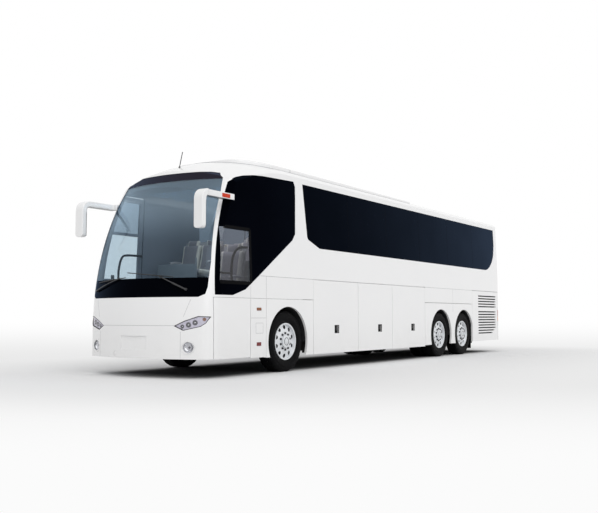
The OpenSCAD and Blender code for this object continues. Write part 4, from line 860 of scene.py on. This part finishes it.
def wiper(name, pivot, bend, tip_a, tip_b):
    """Wiper arm from its pivot to the middle of a blade that lies on the glass."""
    part = Piece(name)
    knob = on_front(front, *pivot, 0.0)
    along = (on_front(front, *pivot, 0.012) - knob).normalized()
    part.add(tube([knob, knob + along * 0.030], 0.020, 16))
    part.add(tube([knob + along * 0.028, knob + along * 0.034], 0.014, 16))
    arm = bowed(pivot, bend, 8, 0.026, 0.008)
    part.add(tube(arm[:5], 0.015, 10, 0.55))
    part.add(tube(arm[4:], 0.010, 10, 0.6))
    part.add(tube(bowed(tip_a, tip_b, 14, 0.007, 0.0), 0.006, 8))
    part.add(tube(bowed(tip_a, tip_b, 14, 0.017, 0.006), 0.006, 8))
    clip = Vector((0.020, 0.012, 0.012))
    part.add(box(arm[-1] - clip, arm[-1] + clip, 0.005))
    part.make("coach", PLASTIC, "black_plastic")


wiper("wiper_left", (0.889, 1.311), (0.461, 1.503), (-0.210, 1.582), (0.664, 1.500))
wiper("wiper_right", (-1.021, 1.322), (-0.384, 1.494), (-0.983, 1.450), (-0.240, 1.505))

# Panel lines laid on the skin: grey strips of painted shade where the panels meet.
SEAM_PROUD = 0.0006
lines = Piece("panel_lines")
sides = skin("lower_panels", "side_walls")
walls = skin("lower_panels", "side_walls", "front_shell")
# Lines of the nose: (x, z) points, width, steps.
NOSE_LINES = [(((-0.735, 0.778), (0.735, 0.778)), 0.005, 60)]
for s, _ in SIDES:
    NOSE_LINES += [(((s * 0.975, 1.17), (s * 0.876, 0.906)), 0.004, 14),
                   (((s * 0.836, 0.295), (s * 0.836, 0.69)), 0.004, 14)]
for points, width, steps in NOSE_LINES:
    lines.add(strip(front, [(x, -7, z) for x, z in points], width, SEAM_PROUD, (0, 1, 0), steps))
# Lines of the sides: surface, (y, z) points, width, steps, and whether the door's side has it too.
SIDE_LINES = [
    (sides, ((-4.77, 0.65), (-4.58, 0.65), (-4.58, 0.81), (-4.77, 0.81), (-4.77, 0.65)), 0.005, 3, False),
    (sides, ((-4.905, 0.89), (-4.50, 0.89)), 0.005, 3, False),
    (walls, ((-4.910, 1.205), (-4.910, 1.415)), 0.005, 6, False),
    (walls, ((-4.70, 1.557), (-3.095, 1.557)), 0.006, 40, True),
    (walls, ((-4.494, 1.205), (-4.494, 1.555)), 0.005, 8, True),
    (walls, ((1.485, 1.557), (4.60, 1.557)), 0.006, 60, True),
    (sides, ((3.035, 1.02), (3.035, 1.215)), 0.005, 5, True),
    (walls, ((3.035, 1.225), (3.035, 1.555)), 0.005, 8, True)]
for s, _ in SIDES:
    for surface, points, width, steps, on_both in SIDE_LINES:
        if s > 0 or on_both:
            path = [(s * 2, y, z) for y, z in points]
            lines.add(strip(surface, path, width, SEAM_PROUD, (-s, 0, 0), steps))
lines.make("coach", SEAM_SHADE, "black_plastic")

# Headlamp outline seen from the front: the source's shares of its width and height.
LAMP_TIP, LAMP_W, LAMP_Z, LAMP_H = 1.236, 0.506, 0.704, 0.214
LAMP_EDGE = [(LAMP_TIP - LAMP_W * (1 - u), LAMP_Z + LAMP_H * v) for u, v in (
    (0, 0.318), (0.287, 0), (0.787, 0.276), (0.909, 0.519), (1, 0.972), (0.713, 1), (0.308, 0.668))]
LAMP_SIDES = list(zip(LAMP_EDGE, LAMP_EDGE[1:] + LAMP_EDGE[:1]))
lamp = skin("front_lamps")


def lamp_span(x):
    """Lowest and highest point of the headlamp outline at x."""
    cuts = []
    for (xa, za), (xb, zb) in LAMP_SIDES:
        if min(xa, xb) <= x <= max(xa, xb) and xa != xb:
            cuts.append(za + (zb - za) * (x - xa) / (xb - xa))
    return min(cuts), max(cuts)


# Pale housing just behind each clear cover, then bowls and bulbs set in it.
WELL, LENS, BRIGHT, BACK = range(4)  # marks of the piece's materials
bowls = Piece("lamp_bowls")
columns, rows = 26, 6
verts, faces = [], []
for i in range(columns + 1):
    x = LAMP_TIP - LAMP_W * (0.975 - 0.945 * i / columns)
    low, high = lamp_span(x)
    for j in range(rows + 1):
        z = low + (high - low) * (0.06 + 0.88 * j / rows)
        verts.append(on_front(lamp, x, z, -0.010))
for i in range(columns):
    for j in range(rows):
        k = i * (rows + 1) + j
        faces.append([k, k + rows + 1, k + rows + 2, k + 1])
bowls.both((np.array(verts), faces), BACK)
for x, z, r, mark in ((0.858, 0.766, 0.026, WELL), (0.950, 0.790, 0.036, WELL), (1.045, 0.822, 0.036, WELL),
                      (1.168, 0.870, 0.024, LENS)):
    p, q = on_front(lamp, x, z, -0.005), on_front(lamp, x + 0.01, z, -0.005)
    turn = aimed(p, math.atan2(q.y - p.y, q.x - p.x) + math.pi / 2)
    well = [(r * 1.12, 0.004), (r * 1.1, 0.0), (r, 0.0), (r * 0.92, 0.002), (r * 0.6, 0.0035), (0.0, 0.004)]
    bowls.both(turned(revolve(well, 28), turn), mark)
    bulb = [(r * 0.30, 0.0035), (r * 0.28, 0.001), (r * 0.2, -0.001), (0.0, -0.002)]
    bowls.both(turned(revolve(bulb, 16), turn), LENS if mark == LENS else BRIGHT)
# Dish and bulb of the fog lamp, which looks a little outwards.
turn = aimed(on_front(lamp, FOG_X, FOG_Z, -0.006), math.radians(104))
dish = [(FOG_R * share, deep) for share, deep in (
    (0.95, 0.0), (0.86, 0.012), (0.66, 0.028), (0.40, 0.040), (0.16, 0.046), (0, 0.047))]
bowls.both(turned(revolve(dish, 40), turn), BRIGHT)
bulb = [(0.016, 0.046), (0.016, 0.022), (0.010, 0.014), (0.0, 0.012)]
bowls.both(turned(revolve(bulb, 20), turn), WELL)
bowls.make("coach", [DARK, AMBER, CHROME, HOUSING], "lamp_lens")

# Dark seals around the headlamp covers.
seals = Piece("headlamp_seals")
mid_x = sum(x for x, _ in LAMP_EDGE) / len(LAMP_EDGE)
mid_z = sum(z for _, z in LAMP_EDGE) / len(LAMP_EDGE)
loop = []
for (xa, za), (xb, zb) in LAMP_SIDES:
    for k in range(8):
        x, z = xa + (xb - xa) * k / 8, za + (zb - za) * k / 8
        # Just inside the outline, where the cover can be hit.
        hit = on_front(lamp, mid_x + (x - mid_x) * 0.965, mid_z + (z - mid_z) * 0.95, 0.002)
        if hit:
            loop.append(hit)
seals.both(tube(loop + loop[:1], 0.0045, 8))
seals.make("coach", GASKET, "black_plastic")

# Cover over the socket of the towing eye, flush with the mask.
cover = Piece("tow_eye_cover")
p, q = (on_front(front, TOW_X + d, TOW_Z, 0.0) for d in (0.047, -0.047))
turn = aimed((p + q) / 2, math.atan2(p.y - q.y, p.x - q.x) + math.pi / 2)
lid = [(0.0, 0.0002), (0.034, 0.0004), (0.0375, 0.0016), (0.0385, 0.004), (0.0385, 0.012)]
cover.add(turned(revolve(lid, 40), turn))
cover.make("coach", PAINT, "white_paint")

# Mesh behind the louvres, and a dark sheet behind it as painted shade of the space within.
back = Piece("louvre_mesh_and_shade")
for k in range(31):
    y = 4.60 + k * 0.0425
    back.both(box((1.2300, y, 0.46), (1.2335, y + 0.006, 1.46), 0.001))
# Painted shade: a black sheet for the dark space behind the louvres.
back.both(box((1.2260, 4.58, 0.44), (1.2290, 5.90, 1.48), 0.001))
back.make("coach", GASKET, "black_plastic")

# Rubber flaps behind the tag wheels, around the solid flaps there, with ribs and a clamped bar.
flaps = Piece("mud_flaps")
flaps.both(box((0.955, 4.2842, 0.13), (1.205, 4.2958, 0.40), 0.005))
for k in range(4):
    z = 0.17 + k * 0.035
    flaps.both(box((0.985, 4.2950, z), (1.175, 4.2990, z + 0.01), 0.0015))
flaps.both(box((0.965, 4.2950, 0.345), (1.195, 4.3010, 0.385), 0.002), 1)
for k in range(4):
    x = 0.99 + k * 0.06
    flaps.both(tube([(x, 4.300, 0.365), (x, 4.307, 0.365)], 0.009, 6), 1)
flaps.make("coach", [GASKET, STEEL], "black_plastic")

# Painted rims around the fog lamps.
RING_R, RING_STEPS = 0.094, 32
rings = Piece("fog_lamp_rings")
for s, _ in SIDES:
    loop = []
    for k in range(RING_STEPS + 1):
        a = 2 * math.pi * k / RING_STEPS
        x, z = s * (FOG_X + RING_R * math.cos(a)), FOG_Z + RING_R * math.sin(a)
        loop.append(on_front(front, x, z, 0.001))
    rings.add(tube(loop, 0.008, 8))
rings.make("coach", PAINT, "white_paint")

# Bases of the side markers and reflectors, wider than the lenses on them.
bases = Piece("marker_bases")
for z, high in ((MARKER_Z, 0.024), (REFLECTOR_Z, 0.029)):
    bases.both(box((1.2735, MARKER_Y - 0.060, z - high), (1.2785, MARKER_Y + 0.060, z + high), 0.002))
bases.make("coach", MARKER, "amber_lens")

# Indicators on the mirror arms.
blink = Piece("mirror_indicators")
for s, y0, y1 in ((1, -5.645, -5.455), (-1, -5.64, -5.47)):
    blink.add(on_side(box((1.278, y0, 2.700), (1.292, y1, 2.762), 0.006), s))
blink.make("coach", ORANGE, "amber_lens")

# Flap handles in their recesses. A handle's place is a share of its flap's length.
HANDLE_SHARE = {1: 0.5, 2: 0.62, 3: 0.61}
for s, side in SIDES:
    for k, share in HANDLE_SHARE.items():
        lo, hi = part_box(f"flap_{side}_{k}")
        y = lo.y + (hi.y - lo.y) * share
        part = Piece(f"flap_handle_{side}_{k}")
        plate = box((1.2590, y - 0.048, 0.622), (1.2655, y + 0.048, 0.748), 0.003)
        lever = turned(rounded((0.0035, 0.033, 0.040), 0.003),
                       Matrix.Translation((1.2695, y, 0.697)) @ Matrix.Rotation(math.radians(3), 4, "Y"))
        lock = tube([(1.264, y, 0.640), (1.271, y, 0.640)], 0.009, 16)
        bars = [box((1.2735, y + a, c), (1.2775, y + b, d), 0.0015) for a, b, c, d in (
            (-0.078, -0.050, 0.612, 0.758), (0.050, 0.078, 0.612, 0.758),
            (-0.052, 0.052, 0.612, 0.621), (-0.052, 0.052, 0.749, 0.758))]
        for shape, mark in [(plate, 0), (lever, 1), (lock, 1)] + [(bar, 0) for bar in bars]:
            part.add(on_side(shape, s), mark)
        part.make(f"flap_{side}_{k}_body", [GASKET, PLASTIC], "black_plastic")

# Frame of the driver's sliding pane: below, behind and above it.
glass = skin("side_windows")
slide = Piece("driver_pane_frame")
loop = [(2, -5.66, SLIDE_LOW), (2, SLIDE_Y, SLIDE_LOW), (2, SLIDE_Y, SLIDE_HIGH), (2, -5.54, SLIDE_HIGH)]
for a, b in zip(loop[:-1], loop[1:]):
    slide.add(strip(glass, [a, b], 0.055, 0.004, (-1, 0, 0), 12))
slide.make("coach", GASKET, "black_plastic")

# Rubber between the fixed side panes, from the lowest to the highest point found beside the gap.
seals = Piece("window_seals")
for s, _ in SIDES:
    for y in PANE_GAPS:
        rise = []
        for k in range(120):
            found = under(glass, (s * 2, y - 0.02, 1.9 + k * 0.01), (-s, 0, 0))
            if found and found[0].x * s > 0:
                rise.append(found[0])
        low, high = rise[0], rise[-1]
        verts = [(p.x - s * d, y + w, p.z) for p in (low, high) for d, w in (
            (0.001, -0.0038), (0.001, 0.0038), (0.012, 0.0038), (0.012, -0.0038))]
        faces = [[0, 1, 5, 4], [1, 2, 6, 5], [2, 3, 7, 6], [3, 0, 4, 7], [3, 2, 1, 0], [4, 5, 6, 7]]
        seals.add((verts, faces if s > 0 else [f[::-1] for f in faces]))
seals.make("coach", GASKET, "black_plastic")


# Bars inside the door and across the driver's sliding pane, carried by the door and the pane's frame.
RAIL_R, BAR_R = 0.019, 0.016
rail = Piece("door_grab_rail").add(tube(smooth_path([
    (-1.205, -5.36, 1.50), (-1.165, -5.36, 1.53), (-1.160, -5.355, 1.70), (-1.160, -5.30, 1.88),
    (-1.160, -5.20, 1.945), (-1.160, -4.90, 1.955), (-1.165, -4.82, 1.955), (-1.205, -4.80, 1.955)]), RAIL_R))
rail.make("door_leaf", GASKET, "black_plastic")
rail = Piece("driver_grab_rail").add(tube(smooth_path([
    (1.205, -5.25, 1.435), (1.165, -5.25, 1.47), (1.155, -5.245, 1.66), (1.155, -5.215, 1.82),
    (1.155, -5.13, 1.94), (1.155, -5.02, 1.985), (1.165, -4.93, 1.995), (1.205, -4.905, 1.995)]), RAIL_R))
rail.add(tube(smooth_path([(1.157, -5.246, 1.575), (1.160, -5.42, 1.575), (1.168, -5.58, 1.575)]), BAR_R))
rail.make("coach", GASKET, "black_plastic")

# Low walls ahead of the first seats, with a post on each side of the aisle.
wall = Piece("cabin_front_wall")
wall.add(box((0.26, -4.44, DECK_Z), (1.15, -4.41, 1.83), 0.012))
wall.add(box((-1.15, -4.44, DECK_Z), (-0.26, -4.41, 1.82), 0.012))
for x in (0.26, -0.26):
    wall.add(tube([(x, -4.425, DECK_Z), (x, -4.425, 1.86), (x, -4.425, 1.92)], BAR_R))
wall.make("coach", TRIM, "black_plastic")

bpy.context.scene.view_settings.view_transform = "Standard"

# Plain white studio, dimmer as a light than as a backdrop.
LIGHT_LEVEL, BACKDROP_LEVEL = 0.69, 1.0
g = Graph("studio", bpy.data.worlds.new("studio"))
light, backdrop = (
    g.node("ShaderNodeBackground", {"Color": (1.0, 1.0, 1.0, 1.0), "Strength": level}).outputs[0]
    for level in (LIGHT_LEVEL, BACKDROP_LEVEL))
bpy.context.scene.world = g.done(g.shader_mix(g.shown(), light, backdrop))

# Camera fitted to the photo's outline. Picture rows below the horizon are DROP over the distance.
CAMERA_AT, CAMERA_TURN, LENS_MM = (9.002, -15.23, 0.9154), (94.148, 0, 33.48), 49.67
CAMERA_FOOT, DROP = (9.0, -15.2, 0.0), 755.0
FOOTPRINT = (1.3, 6.2)  # half width and half length of the coach's place on the floor
MID_GREY, NEAR_WHITE = 0.82, 0.965  # levels of the floor beside the coach and before the camera

# Floor: shaded near the coach, glowing towards the camera and the horizon, with a painted shadow under the
# coach.
g = Graph("studio_floor")
x, y = g.axis(0), g.axis(1)
off_x, off_y = g.math("ABSOLUTE", x), g.math("ABSOLUTE", y)
# Painted shadow: the floor's colour fades to dark grey under the coach.
painted_coach_shadow = g.times(g.fade(off_x, 0.75, 1.30, 1.0, 0.0), g.fade(off_y, 5.2, 6.3, 1.0, 0.0))
pale = g.mix(g.noise(0.3, 2.0), (0.78, 0.78, 0.785), (0.80, 0.80, 0.80))
shade = g.node("ShaderNodeBsdfDiffuse", {"Color": g.mix(painted_coach_shadow, pale, (0.16, 0.16, 0.165))})
beside, beyond = (g.math("MAXIMUM", g.math("SUBTRACT", off, half), 0.0)
                  for off, half in zip((off_x, off_y), FOOTPRINT))
away = g.math("SQRT", g.squares(beside, beyond))
shift = g.node("ShaderNodeVectorMath", {0: g.coord["Object"], 1: CAMERA_FOOT}, operation="SUBTRACT")
length = g.node("ShaderNodeVectorMath", {0: shift.outputs[0]}, operation="LENGTH")
rows_down = g.math("DIVIDE", DROP, length.outputs["Value"])
near = g.math("ADD", g.times(x, 0.51), g.times(y, -0.86))
before = (6.0, 12.5)  # where the floor before the coach brightens, along the line to the camera
level = g.math("MAXIMUM", g.fade(rows_down, 3.0, 42.0, 1.0, MID_GREY),
               g.fade(near, *before, MID_GREY, NEAR_WHITE))
glow = g.node("ShaderNodeEmission", {"Strength": level})
reach = g.math("MAXIMUM", g.fade(away, 0.3, 4.5), g.fade(near, *before))
floor_white = g.done(g.shader_mix(g.times(reach, g.shown()), shade.outputs[0], glow.outputs[0]))
mesh = bpy.data.meshes.new("studio_floor")
ring, edge, floor_z = 64, 200.0, -0.001
angles = [2 * math.pi * k / ring for k in range(ring)]
mesh.from_pydata([(edge * math.cos(a), edge * math.sin(a), floor_z) for a in angles], [], [list(range(ring))])
mesh.materials.append(floor_white)
ground = show("studio_floor", mesh)


def lamp_at(name, place, target, size, energy):
    """Area light at place that looks at target."""
    data = bpy.data.lights.new(name, "AREA")
    data.shape = "RECTANGLE"
    data.size, data.size_y = size
    data.energy = energy
    obj = show(name, data)
    obj.location = place
    obj.rotation_euler = (Vector(target) - Vector(place)).to_track_quat("-Z", "Y").to_euler()


sun = show("soft_key", bpy.data.lights.new("soft_key", "SUN"))
sun.data.energy = 1.25
sun.data.angle = math.radians(70)
sun.rotation_euler = Vector((-0.62, 0.42, -0.65)).to_track_quat("-Z", "Y").to_euler()
lamp_at("cab_light", (0.1, -4.75, 2.95), (0.1, -4.75, 0), (1.6, 1.0), 26)
lamp_at("cabin_light", (0, -2.2, 3.1), (0, -2.2, 0), (1.2, 3.0), 30)

cam = show("camera", bpy.data.cameras.new("camera"))
cam.data.sensor_width = 36
cam.data.lens = LENS_MM
cam.data.clip_end = 400
cam.location = CAMERA_AT
cam.rotation_euler = [math.radians(a) for a in CAMERA_TURN]
bpy.context.scene.camera = cam
